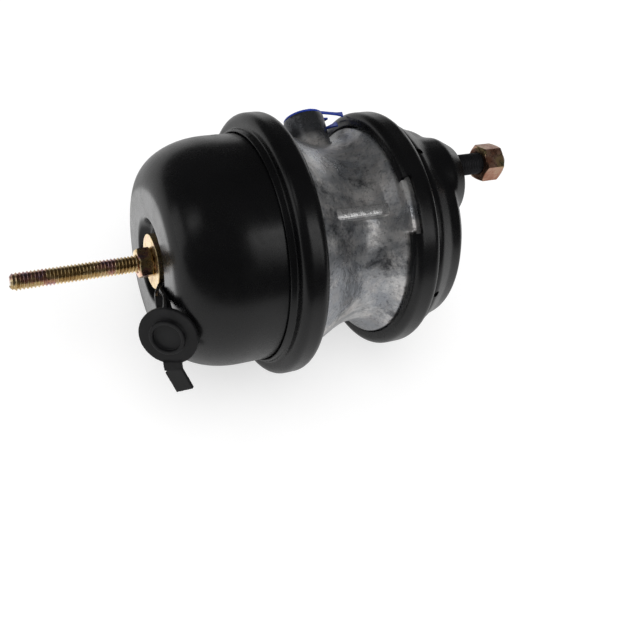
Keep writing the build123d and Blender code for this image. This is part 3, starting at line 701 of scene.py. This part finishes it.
@dataclass
class SpringHousing:
    """The deep drawn can at the spring end: dished end, rounded shoulder and flange."""

    finish: bpy.types.Material
    wall: float = 3.0
    flat_r: float = 50.2
    corner: float = 47.1
    can_r: float = 80.4
    dish_floor_r: float = 26.2
    dish_rim_r: float = 30.0
    dish_depth: float = 8.1
    bolt_hole_r: float = 8.5
    drain_angle: float = 41.0
    drain_r: float = 2.5

    def build(self) -> bpy.types.Object:
        """Turn the can, round its creases and drill its drain hole."""
        low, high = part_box("spring_housing")
        end_x, flange_x = low.x / MM, high.x / MM - self.wall
        flange_r = high.z / MM
        centre_x = end_x + self.corner
        arc = [
            (centre_x - self.corner * math.cos(t), self.flat_r + (self.can_r - self.flat_r) * math.sin(t))
            for t in np.linspace(0, math.pi / 2, 20)
        ]
        inner = [
            (
                centre_x - (self.corner - self.wall) * math.cos(t),
                self.flat_r + (self.can_r - self.flat_r - self.wall) * math.sin(t),
            )
            for t in np.linspace(math.pi / 2, 0, 14)
        ]
        dish_x = end_x + self.dish_depth
        outside = [
            (dish_x, self.bolt_hole_r), (dish_x, self.dish_floor_r), (end_x, self.dish_rim_r),
            *arc, (flange_x - 6.0, self.can_r), (flange_x - 3.0, self.can_r + 0.8),
            (flange_x, self.can_r + 2.0), (flange_x, flange_r),
        ]
        inside = [
            (flange_x + self.wall, flange_r), (flange_x + self.wall, self.can_r + 1.0),
            (flange_x - 5.0, self.can_r - self.wall), *inner, (end_x + self.wall, self.dish_rim_r + 1.0),
            (dish_x + self.wall, self.dish_floor_r + 1.0), (dish_x + self.wall, self.bolt_hole_r),
        ]
        can = lathe("spring_can", rounded(outside + inside, 1.1, 1.3, closed=True), 224)
        way = outward(self.drain_angle)
        axis_point = Vector((centre_x + 6.0, 0, 0))
        drill = bar("drill", self.drain_r, axis_point + way * 70, axis_point + way * 90)
        cut(can, drill)
        shade_by_angle(can, 40)
        return finish_piece(can, self.finish, "housing", "spring_housing")


@dataclass
class ClampRing:
    """A clamp ring rolled over the two flanges, as a C-section with curled lips."""

    finish: bpy.types.Material
    node: str
    left_lip_r: float
    right_lip_r: float
    roll: float
    wall: float = 3.0
    skirt: float = 0.0
    skirt_drop: float = 1.9
    notch: tuple[float, float] | None = None

    def build(self) -> bpy.types.Object:
        """Turn the rolled section and cut the notch if there is one."""
        low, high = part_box(self.node)
        left, right, top = low.x / MM, high.x / MM, high.y / MM
        roll, wall = self.roll, self.wall
        crown = [
            (left + roll - roll * math.cos(t), top - roll + roll * math.sin(t))
            for t in np.linspace(0, math.pi / 2, 10)
        ]
        fall = [
            (right - roll + roll * math.sin(t), top - roll + roll * math.cos(t))
            for t in np.linspace(0, math.pi / 2, 10)
        ]
        lip = self.left_lip_r
        curl = []
        if self.skirt:
            end = left - self.skirt
            curl = [(end, lip - self.skirt_drop), (end, lip - 0.4), (left, lip + 0.8)]
        section = [
            *(curl or [(left, lip)]), *crown, *fall, (right, self.right_lip_r),
            (right - wall, self.right_lip_r), (right - wall, top - wall), (left + wall, top - wall),
            (left + wall, lip - (self.skirt_drop if self.skirt else 0.0)),
        ]
        ring = lathe(self.node + "_band", rounded(section, 0.7, 0.9, closed=True), 240)
        if self.notch:
            self._cut_notch(ring, left)
        return finish_piece(ring, self.finish, "housing", self.node)

    def _cut_notch(self, ring: bpy.types.Object, left: float) -> None:
        """Cut away the left part of the ring over the casting's lug."""
        start, end = self.notch
        angles = np.radians(np.linspace(start, end, 12))
        grid = np.zeros((len(angles), 4, 3))
        for i, angle in enumerate(angles):
            for j, (x, r) in enumerate(((left - 2, 70), (left + 5.2, 70), (left + 5.2, 95), (left - 2, 95))):
                grid[i, j] = (x, r * math.sin(angle), r * math.cos(angle))
        tool = surface("notch", grid, False, True)
        cut(ring, tool)
        shade_by_angle(ring, 35)


@dataclass
class ServiceHousing:
    """The pressed cup at the rod end, with a raised racetrack pad for the two studs."""

    finish: bpy.types.Material
    wall: float = 3.0
    half_centres: float = 46.0
    pad_top_r: float = 25.5
    pad_base_r: float = 32.0
    pad_slope: float = 12.0
    pad_height: float = 6.0
    opening_r: float = 19.0
    stud_spacing: float = 120.65
    stud_hole_r: float = 8.3
    vent_r: float = 2.5
    vents: tuple[float, ...] = (0.0, -78.0, 140.0)
    body: Profile = field(
        default_factory=lambda: [
            (-36.0, 80.5), (-24.5, 73.8), (-14.7, 71.0), (-12.0, 66.5), (-6.0, 59.0)
        ]
    )

    def _pad_reach(self, radius: float, angle: float) -> float:
        """Distance from the axis to the racetrack's edge in one direction.

        Args:
            radius: The racetrack's end radius.
            angle: Direction from +Z, in radians.

        Returns:
            The distance in millimetres.
        """
        across, along = abs(math.sin(angle)), abs(math.cos(angle))
        half = self.half_centres
        if across > 1e-6 and radius / across * along <= half:
            return radius / across
        return half * along + math.sqrt(max(0.0, radius**2 - (half * across) ** 2))

    def _column(self, angle: float, inset: float, count: int) -> list[tuple[float, float]]:
        """The cup's section in one direction, from its flange to the opening.

        Args:
            angle: Direction from +Z, in radians.
            inset: How far the section lies inside the outer face.
            count: Number of points in the result.

        Returns:
            Points as (x, r) in millimetres.
        """
        flange_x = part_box("service_housing")[0].x / MM
        straight = np.linspace(flange_x + self.wall, self.body[0][0], 6)
        xs = np.concatenate([straight, np.linspace(self.body[0][0] + 1.0, -self.pad_height, 36)])
        body_x = [p[0] for p in self.body]
        body_r = [p[1] for p in self.body]
        line = []
        for x in xs:
            base = np.interp(x, body_x, body_r)
            radius = self.pad_base_r if x < -self.pad_slope else self.pad_base_r - (
                self.pad_base_r - self.pad_top_r
            ) * (x + self.pad_slope) / self.pad_slope
            reach = self._pad_reach(radius, angle)
            line.append((x - inset * 0.6, self._soft_max(base, reach, 3.0) - inset))
        share = (self.pad_slope - self.pad_height) / self.pad_slope
        crease = self.pad_base_r - (self.pad_base_r - self.pad_top_r) * share
        foot = self._pad_reach(crease, angle)
        line.append((-self.pad_height - inset, min(line[-1][1], foot)))
        line.append((-inset, self._pad_reach(self.pad_top_r, angle) - inset))
        line.append((-inset, self.opening_r))
        smooth = np.array(rounded(line, 0.5, 1.5))
        runs = np.linalg.norm(np.diff(smooth, axis=0), axis=1)
        along = np.concatenate([[0.0], np.cumsum(runs)])
        places = np.linspace(0, along[-1], count)
        return list(zip(np.interp(places, along, smooth[:, 0]), np.interp(places, along, smooth[:, 1])))

    @staticmethod
    def _soft_max(one: float, two: float, blend: float) -> float:
        """The larger of two values, with a rounded change from one to the other."""
        gap = max(blend - abs(one - two), 0.0) / blend
        return max(one, two) + gap * gap * blend * 0.25

    def build(self) -> bpy.types.Object:
        """Shape the cup column by column, close it and drill its holes."""
        low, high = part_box("service_housing")
        flange_x, flange_r = low.x / MM, high.y / MM
        turns = np.linspace(0, 2 * math.pi, 288, endpoint=False)
        columns = []
        for angle in turns:
            out = self._column(angle, 0.0, 120)
            back = self._column(angle, self.wall, 60)[::-1]
            rim = [(flange_x, self.wall_r - self.wall), (flange_x, flange_r)]
            rim.append((flange_x + self.wall, flange_r))
            line = out + back + rim
            columns.append([(x, r * math.sin(angle), r * math.cos(angle)) for x, r in line])
        cup = surface("service_cup", np.array(columns), True, True)
        for vent in self.vents:
            way = outward(vent)
            start = Vector((-36, 0, 0)) + way * 70
            cut(cup, bar("vent", self.vent_r, start, start + way * 20))
        for side in (-1, 1):
            centre = Vector((0, 0, side * self.stud_spacing / 2))
            back, front = centre - Vector((9, 0, 0)), centre + Vector((3, 0, 0))
            cut(cup, bar("stud_hole", self.stud_hole_r, back, front, 48))
        shade_by_angle(cup, 35)
        return finish_piece(cup, self.finish, "housing", "service_housing")

    @property
    def wall_r(self) -> float:
        """Radius of the cup's wall at the flange."""
        return self.body[0][1]


# ---------------------------------------------------------------- fasteners


def hexagon(
    name: str, flats: float, bore_r: float, start: float, end: float, turn: float, crown: float = 30.0
) -> bpy.types.Object:
    """A hexagon nut along X with bevelled corners and countersunk bore.

    Args:
        name: The object's name.
        flats: Size across the flats, in millimetres.
        bore_r: Radius of the bore.
        start: Lower end along X.
        end: Upper end along X.
        turn: Turn of the first corner from +Y, in degrees.
        crown: Angle of the corner bevel, in degrees.

    Returns:
        The nut, centred on the X axis.
    """
    segments = 144
    corner = flats / math.sqrt(3)
    bevel_r = 0.95 * flats / 2
    rise = math.tan(math.radians(crown))
    rows = []
    for k in range(segments):
        angle = 2 * math.pi * k / segments
        local = (angle - math.radians(turn) + math.pi / 6) % (math.pi / 3) - math.pi / 6
        hex_r = corner * math.cos(math.pi / 6) / math.cos(abs(abs(local) - math.pi / 6))
        fall = max(0.0, hex_r - bevel_r) * rise
        line = [
            (start, bore_r + 0.8), (start, bevel_r - 0.4), (start + 0.12, bevel_r + 0.1),
            (start + fall * 0.9 + 0.05, hex_r - 0.25), (start + fall + 0.4, hex_r),
            (end - fall - 0.4, hex_r), (end - fall * 0.9 - 0.05, hex_r - 0.25), (end - 0.12, bevel_r + 0.1),
            (end, bevel_r - 0.4), (end, bore_r + 0.8), (end - 0.9, bore_r), (start + 0.9, bore_r),
        ]
        rows.append([(x, r * math.cos(angle), r * math.sin(angle)) for x, r in line])
    nut = surface(name, np.array(rows), True, True)
    shade_by_angle(nut, 24)
    return nut


@dataclass
class Studs:
    """The two mounting studs and the nuts run on to them."""

    stud_finish: bpy.types.Material
    nut_finish: bpy.types.Material
    threads: ThreadTree
    spacing: float = 120.65
    crest_r: float = 7.8
    pitch: float = 1.5
    depth: float = 0.85
    flats: float = 24.0

    def build(self) -> None:
        """Make both studs as one piece and both nuts as another."""
        low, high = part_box("mounting_studs")
        tip, head_x = high.x / MM, low.x / MM
        studs, nuts = [], []
        nut_low, nut_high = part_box("stud_nuts")
        for side in (-1, 1):
            root = self.crest_r - self.depth
            core = lathe(
                "core",
                [
                    (head_x, 0), (head_x, 10.6), (head_x + 0.4, 11), (head_x + 2.6, 11), (head_x + 3, 10.6),
                    (head_x + 3, self.crest_r), (0.5, self.crest_r), (1.5, root + 0.1),
                    (tip - 1.4, root + 0.1), (tip, root - 1.0), (tip, 0),
                ],
                64,
                closed=False,
            )
            shade_by_angle(core, 30)
            ridge = self.threads.ridge(
                "ridge", self.crest_r, self.pitch, self.depth, 0.6, tip - 0.7, self.stud_finish
            )
            stud = join("stud", [core, ridge])
            stud.data.transform(Matrix.Translation((0, 0, side * self.spacing / 2 * MM)))
            studs.append(stud)
            nut = hexagon("nut", self.flats, self.crest_r - 0.2, nut_low.x / MM, nut_high.x / MM, 90)
            nut.data.transform(Matrix.Translation((0, 0, side * self.spacing / 2 * MM)))
            nuts.append(nut)
        both = join("threaded_studs", studs)
        finish_piece(both, self.stud_finish, "housing", "mounting_studs")
        both = join("bronze_nuts", nuts)
        finish_piece(both, self.nut_finish, "housing", "stud_nuts")


@dataclass
class ReleaseGear:
    """The release bolt, its nut and its washer, all zinc plated."""

    finish: bpy.types.Material
    threads: ThreadTree
    crest_r: float = 6.0
    pitch: float = 2.35
    depth: float = 1.15
    flats: float = 19.0

    def build(self) -> None:
        """Make the bolt with its thread, the nut and the washer."""
        low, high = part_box("release_bolt")
        tip, head = low.x / MM, high.x / MM
        head_start = head - 7.0
        root = self.crest_r - self.depth
        core = lathe(
            "core",
            [
                (tip, 0), (tip, root - 1.0), (tip + 1.2, root + 0.1), (head_start - 14, root + 0.1),
                (head_start - 13, self.crest_r), (head_start, self.crest_r), (head_start, 0),
            ],
            64,
            closed=False,
        )
        ridge = self.threads.ridge(
            "ridge", self.crest_r, self.pitch, self.depth, tip + 0.4, head_start - 13, self.finish
        )
        head_bar = bmesh.new()
        bmesh.ops.create_cube(head_bar, size=1.0)
        size = Matrix.Diagonal((7.0 * MM, 26.0 * MM, 12.0 * MM, 1.0))
        shift = Matrix.Translation(((head_start + 3.5) * MM, 0, 0))
        bmesh.ops.transform(head_bar, matrix=shift @ size, verts=head_bar.verts)
        bmesh.ops.bevel(head_bar, geom=head_bar.edges[:], offset=0.0008, segments=2, affect="EDGES")
        mesh = bpy.data.meshes.new("head")
        head_bar.to_mesh(mesh)
        head_bar.free()
        bolt = join("threaded_release_bolt", [core, ridge, placed("head", mesh)])
        shade_by_angle(bolt, 32)
        finish_piece(bolt, self.finish, "parking_carriage", "release_bolt")
        nut_low, nut_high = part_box("release_nut")
        nut = hexagon("zinc_release_nut", self.flats, self.crest_r, nut_low.x / MM, nut_high.x / MM, 0)
        finish_piece(nut, self.finish, "release_nut", "release_nut")
        washer_low, washer_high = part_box("release_washer")
        left, right, top = washer_low.x / MM, washer_high.x / MM, washer_high.y / MM
        profile = rounded([(left, 6.5), (left, top), (right, top), (right, 6.5)], 0.35, 0.5, closed=True)
        washer = lathe("zinc_washer", profile, 128)
        finish_piece(washer, self.finish, "housing", "release_washer")


# ---------------------------------------------------------------- cast and moulded pieces


@dataclass
class SoftenedNode:
    """A cast or moulded piece that keeps its CAD form, with the rounded edges of its mould."""

    name: str
    node: str
    body: str
    slot: str
    finish: bpy.types.Material
    voxel: float
    passes: int = 4

    def build(self, source: bpy.types.Object) -> bpy.types.Object:
        """Remesh the node's form and soften its edges.

        Args:
            source: The CAD node.

        Returns:
            The finished piece.
        """
        piece = from_node(self.name, source)
        remesh = piece.modifiers.new("even", "REMESH")
        remesh.mode = "VOXEL"
        remesh.voxel_size = self.voxel * MM
        smooth = piece.modifiers.new("soften", "SMOOTH")
        smooth.iterations = self.passes
        apply_modifiers(piece)
        shade_smooth(piece)
        return finish_piece(piece, self.finish, self.body, self.node)


def ribbon(
    name: str, line: list[Vector], side: Vector, widths: list[float], thick: float
) -> bpy.types.Object:
    """A flat strip along a line, as on a moulded tab or strap.

    Args:
        name: The object's name.
        line: Points of its middle line, in millimetres.
        side: Direction across the strip.
        widths: Width of the strip at each point.
        thick: Its thickness.

    Returns:
        The closed strip.
    """
    rows = []
    side = side.normalized()
    for k, point in enumerate(line):
        ahead = line[min(k + 1, len(line) - 1)] - line[max(k - 1, 0)]
        up = ahead.cross(side).normalized()
        half, low = widths[k] / 2, thick / 2
        edge = min(low, half) * 0.6
        outline = [
            (half, -low + edge), (half, low - edge), (half - edge, low), (-half + edge, low),
            (-half, low - edge), (-half, -low + edge), (-half + edge, -low), (half - edge, -low),
        ]
        rows.append([tuple(point + side * a + up * b) for a, b in outline])
    strip = surface(name, np.array(rows), False, True)
    shade_by_angle(strip, 40)
    return strip


@dataclass
class CastRib:
    """The stiffening rib along the casting's barrel, flat topped with drafted flanks."""

    finish: bpy.types.Material
    angle: float = -27.5
    start_x: float = -120.3
    end_x: float = -68.0
    top_width: float = 6.4
    foot_width: float = 9.4
    foot_depth: float = 7.0
    profile: Profile = field(
        default_factory=lambda: [(-120.3, 77.4), (-114.0, 74.7), (-76.0, 73.7), (-68.0, 69.0)]
    )

    def build(self) -> bpy.types.Object:
        """Loft the rib from section to section."""
        way = outward(self.angle)
        side = Vector((1, 0, 0)).cross(way)
        xs = np.linspace(self.start_x, self.end_x, 40)
        tops = np.interp(xs, [p[0] for p in self.profile], [p[1] for p in self.profile])
        rows = []
        for x, top in zip(xs, tops):
            end = min(x - self.start_x, self.end_x - x)
            top -= 1.2 * max(0.0, 1.0 - end / 1.5) ** 2
            half, foot = self.top_width / 2, self.foot_width / 2
            right = [(half - 0.6, 0.0), (half, -0.25), (half + 0.4, -0.7), (foot, -self.foot_depth)]
            outline = [(-a, b) for a, b in reversed(right)] + right
            rows.append([tuple(Vector((x, 0, 0)) + side * a + way * (top + b)) for a, b in outline])
        rib = surface("cast_rib", np.array(rows), False, True)
        shade_by_angle(rib, 30)
        return finish_piece(rib, self.finish, "housing", "")


@dataclass
class PullTab:
    """The thin flared tab by which a port plug is pulled out."""

    name: str
    finish: bpy.types.Material
    root: Point
    tip: Point
    side: Point = (0.36, 0.86, -0.36)
    thick: float = 1.3
    flare: Profile = field(
        default_factory=lambda: [
            (0.0, 4.2), (0.3, 3.8), (0.6, 3.8), (0.8, 4.4), (0.9, 6.2), (0.96, 8.2), (1.0, 8.4)
        ]
    )

    def build(self) -> bpy.types.Object:
        """Sweep the tab from the plug's rim to its flared end."""
        line = [Vector(self.root).lerp(Vector(self.tip), share) for share, _ in self.flare]
        widths = [width for _, width in self.flare]
        tab = ribbon(self.name, line, Vector(self.side), widths, self.thick)
        return finish_piece(tab, self.finish, "housing", "")


@dataclass
class Strap:
    """The rubber tongue that holds the dust plug to its loop."""

    finish: bpy.types.Material
    line: tuple[Point, ...] = (
        (-215.2, -17.5, -1.5), (-221.8, -29.5, 2.5), (-224.0, -37.0, 9.0), (-227.3, -54.0, 15.5)
    )
    side: Point = (0.7246, -0.4157, 0.3643)
    widths: Point = (8.5, 9.5, 11.5)
    thick: float = 2.2

    def build(self) -> bpy.types.Object:
        """Sweep the tongue from behind the washer down to the disc."""
        stops = [Vector(p) for p in self.line]
        line = []
        for one, two in zip(stops[:-1], stops[1:]):
            line.extend(one.lerp(two, t) for t in (0.0, 0.25, 0.5, 0.75))
        line.append(stops[-1])
        widths = list(np.interp(range(len(line)), (0, 6, len(line) - 1), self.widths))
        strap = ribbon("rubber_strap", line, Vector(self.side), widths, self.thick)
        return finish_piece(strap, self.finish, "dust_plug", "")


# ---------------------------------------------------------------- inside pieces


@dataclass
class SoftPiece:
    """A spring or diaphragm held at one end by the housing and moved at the other."""

    node: str
    slot: str
    finish: bpy.types.Material
    body: str
    moved_x: float
    held_x: float

    def build(self, source: bpy.types.Object) -> bpy.types.Object:
        """Copy the node's form, give it its finish and hide the node.

        Args:
            source: The CAD node.

        Returns:
            The finished piece.
        """
        piece = from_node("soft_" + self.node, source)
        piece.data.materials.append(self.finish)
        shade_by_angle(piece, 35)
        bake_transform(piece)
        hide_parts(self.node)
        LOG.info("%s: moves with %s", piece.name, self.body)
        return piece


@dataclass
class InnerPieces:
    """The pieces inside the housings, which keep their CAD form."""

    steel: bpy.types.Material
    rubber: bpy.types.Material
    bush: bpy.types.Material

    def dress(self, nodes: dict[str, bpy.types.Object]) -> None:
        """Give each inner node its material.

        Args:
            nodes: The frame's nodes by name.
        """
        groups = {
            self.steel: (
                "stud_plate", "spring_plate", "adapter_plate", "adapter_rod", "adapter_pad",
                "bush_retainer", "push_plate", "push_rod", "boot_ring",
            ),
            self.rubber: ("rod_seals", "push_rod_boot"),
            self.bush: ("centre_bush",),
        }
        for material, names in groups.items():
            for name in names:
                for slot in nodes[name].material_slots:
                    slot.material = material
                LOG.info("%s: CAD form, %s", name, material.name)


# ---------------------------------------------------------------- studio


@dataclass(frozen=True)
class Lamp:
    """One soft lamp: its place and size in metres, and how bright its face is."""

    name: str
    place: Point
    size: tuple[float, float]
    radiance: float
    mirrored: bool = True
    lies_flat: bool = False


@dataclass
class Studio:
    """Floor, soft lamps, world and camera."""

    eye: Vector = field(default_factory=lambda: Vector((-0.3603, -0.3505, 0.4651)))
    forward: Vector = field(default_factory=lambda: Vector((0.404, 0.471, -0.784)))
    up: Vector = field(default_factory=lambda: Vector((0.173, 0.803, 0.571)))
    lens: float = 48.37
    floor_z: float = -0.0936
    floor_half: float = 6.0
    floor_glow: Colour = (0.42, 0.42, 0.42)
    floor_glow_mirrored: Colour = (0.2, 0.2, 0.2)
    floor_glow_seen: Colour = (0.6, 0.6, 0.6)
    sky_fill: float = 0.7
    room_gloss: float = 0.05
    middle: Point = (-0.1, 0.0, 0.0)
    lamps: tuple[Lamp, ...] = (
        Lamp("overhead_fill", (-0.45, -0.35, 1.25), (0.9, 0.9), 2.0, mirrored=False),
        Lamp("front_strip", (0.40, -0.70, 0.88), (0.34, 0.75), 1.5),
        Lamp("left_strip", (-0.93, 0.05, 0.78), (0.25, 0.4), 0.9),
        Lamp("right_strip", (0.75, 0.62, 0.16), (0.45, 0.4), 0.8),
        Lamp("left_card", (-1.15, 0.22, 0.22), (0.5, 0.45), 0.8),
        Lamp("floor_reflector", (-0.28, 0.07, -0.089), (0.10, 0.16), 0.85, lies_flat=True),
    )

    def build(self) -> None:
        """Set the colour view, the camera, the floor, the lamps and the world."""
        scene = bpy.context.scene
        scene.view_settings.view_transform = "Standard"
        self._camera(scene)
        self._floor()
        self._world(scene)
        for lamp in self.lamps:
            self._lamp(lamp, Vector(self.middle))

    def _camera(self, scene: bpy.types.Scene) -> None:
        """Place the camera from its viewing direction."""
        back = -self.forward.normalized()
        right = self.up.cross(back).normalized()
        up = back.cross(right)
        camera = placed("camera", bpy.data.cameras.new("camera"))
        turn = Matrix((right, up, back)).transposed().to_4x4()
        camera.matrix_world = Matrix.Translation(self.eye) @ turn
        camera.data.lens = self.lens
        camera.data.sensor_width = 36.0
        camera.data.clip_start = 0.01
        scene.camera = camera

    def _floor(self) -> None:
        """Lay a plain pale floor under the object."""
        mesh = bpy.data.meshes.new("floor")
        half = self.floor_half
        corners = [(-half, -half), (half, -half), (half, half), (-half, half)]
        mesh.from_pydata([(x, y, self.floor_z) for x, y in corners], [], [(0, 1, 2, 3)])
        floor = placed("floor", mesh)
        graph = Graph("pale_floor")
        graph.set(Base_Color=(0.5, 0.5, 0.5, 1.0), Roughness=0.9, Specular_IOR_Level=0.1)
        path = add_node(graph.tree, "ShaderNodeLightPath").outputs
        glow = graph.blend(path["Is Glossy Ray"], self.floor_glow, self.floor_glow_mirrored)
        graph.feed("Emission Color", graph.blend(path["Is Camera Ray"], glow, self.floor_glow_seen))
        graph.set(Emission_Strength=1.0)
        mesh.materials.append(graph.material)

    def _world(self, scene: bpy.types.Scene) -> None:
        """Fill the shadows evenly, and keep what gloss mirrors of the dark room."""
        world = bpy.data.worlds.new("soft_sky")
        world.use_nodes = True
        tree = world.node_tree
        path = add_node(tree, "ShaderNodeLightPath").outputs
        sky, room, seen = (
            add_node(tree, "ShaderNodeBackground", {"Color": (1, 1, 1, 1), "Strength": strength}).outputs[0]
            for strength in (self.sky_fill, self.room_gloss, 1.0)
        )
        unseen = {"Fac": path["Is Glossy Ray"], 1: sky, 2: room}
        rest = add_node(tree, "ShaderNodeMixShader", unseen).outputs[0]
        whole = add_node(tree, "ShaderNodeMixShader", {"Fac": path["Is Camera Ray"], 1: rest, 2: seen})
        tree.links.new(whole.outputs[0], tree.nodes["World Output"].inputs["Surface"])
        scene.world = world

    @staticmethod
    def _lamp(lamp: Lamp, target: Vector) -> None:
        """Hang one rectangular soft lamp.

        Args:
            lamp: Its place, size and radiance.
            target: The point that it faces, unless it lies flat and faces up.
        """
        data = bpy.data.lights.new(lamp.name, "AREA")
        data.shape = "RECTANGLE"
        data.size, data.size_y = lamp.size
        data.energy = lamp.radiance * math.pi * lamp.size[0] * lamp.size[1]
        hung = placed(lamp.name, data)
        hung.location = lamp.place
        way = Vector((0, 0, 1)) if lamp.lies_flat else target - Vector(lamp.place)
        hung.rotation_euler = way.to_track_quat("-Z", "Y").to_euler()
        hung.visible_glossy = lamp.mirrored
        hung.visible_camera = False


def main() -> None:
    """Build the studio and every piece."""
    logging.basicConfig(level=logging.INFO, format="%(message)s")
    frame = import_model()
    nodes = frame["nodes"]
    Studio().build()

    paint = GlossPaint().make()
    cast = CastAlloy().make()
    rubber = MatteRubber().make()
    blue = SatinPlastic("blue_plastic").make()
    threads = ThreadTree()

    SpringHousing(paint).build()
    ClampRing(paint, "spring_clamp_ring", 82.8, 82.8, 6.5, skirt=4.5).build()
    ClampRing(paint, "service_clamp_ring", 77.3, 81.0, 5.5, notch=(-42.3, -15.3)).build()
    ServiceHousing(paint).build()
    casting = SoftenedNode("cast_body", "flange_casting", "housing", "cast_alloy", cast, 0.85, 3)
    casting.build(nodes["flange_casting"])
    # Painted highlight: the rib gets a paler, less stained copy of the cast alloy so that its lit top reads
    # bright.
    rib_highlight_alloy = CastAlloy("rib_highlight_alloy", pale=(0.9, 0.89, 0.88), middle=(0.6, 0.6, 0.6), stain=0.3)
    CastRib(rib_highlight_alloy.make()).build()
    Studs(
        Steel("dark_stud_steel", (0.03, 0.03, 0.033), 0.4, 0.8).make(),
        IridescentZinc("bronze_zinc_plate", Zinc.BRONZE).make(),
        threads,
    ).build()
    ReleaseGear(IridescentZinc("yellow_zinc_plate", Zinc.YELLOW, 90.0).make(), threads).build()
    dust_plug = SoftenedNode("rubber_dust_plug", "dust_plug", "dust_plug", "black_rubber", rubber, 0.45)
    dust_plug.build(nodes["dust_plug"])
    for node in ("spring_port_plug", "service_port_plug"):
        SoftenedNode(node + "_moulding", node, "housing", "blue_plastic", blue, 0.3, 2).build(nodes[node])
    Strap(rubber).build()
    PullTab("spring_plug_tab", blue, (-81.0, 76.2, 51.7), (-61.8, 65.3, 56.9)).build()
    PullTab("service_plug_tab", blue, (-78.0, 87.5, 13.0), (-68.0, 59.4, 53.7)).build()
    spring = Steel("dark_spring_steel", (0.05, 0.05, 0.055), 0.4, 0.6).make()
    coils = (
        ("power_spring", "parking_carriage", -157.8, -217.0),
        ("adapter_return_spring", "parking_carriage", -147.1, -84.1),
        ("service_return_spring", "service_carriage", -69.6, -9.1),
    )
    for node, body, moved_x, held_x in coils:
        SoftPiece(node, "spring_steel", spring, body, moved_x, held_x).build(nodes[node])
    sheets = (
        ("parking_diaphragm", "parking_carriage", -153.4, -139.0),
        ("service_diaphragm", "service_carriage", -75.4, -50.0),
    )
    for node, body, moved_x, held_x in sheets:
        SoftPiece(node, "black_rubber", rubber, body, moved_x, held_x).build(nodes[node])
    InnerPieces(
        Steel("plain_steel").make(),
        rubber,
        SatinPlastic("bush_plastic", (0.62, 0.6, 0.52)).make(),
    ).dress(nodes)


if __name__ == "__main__":
    main()
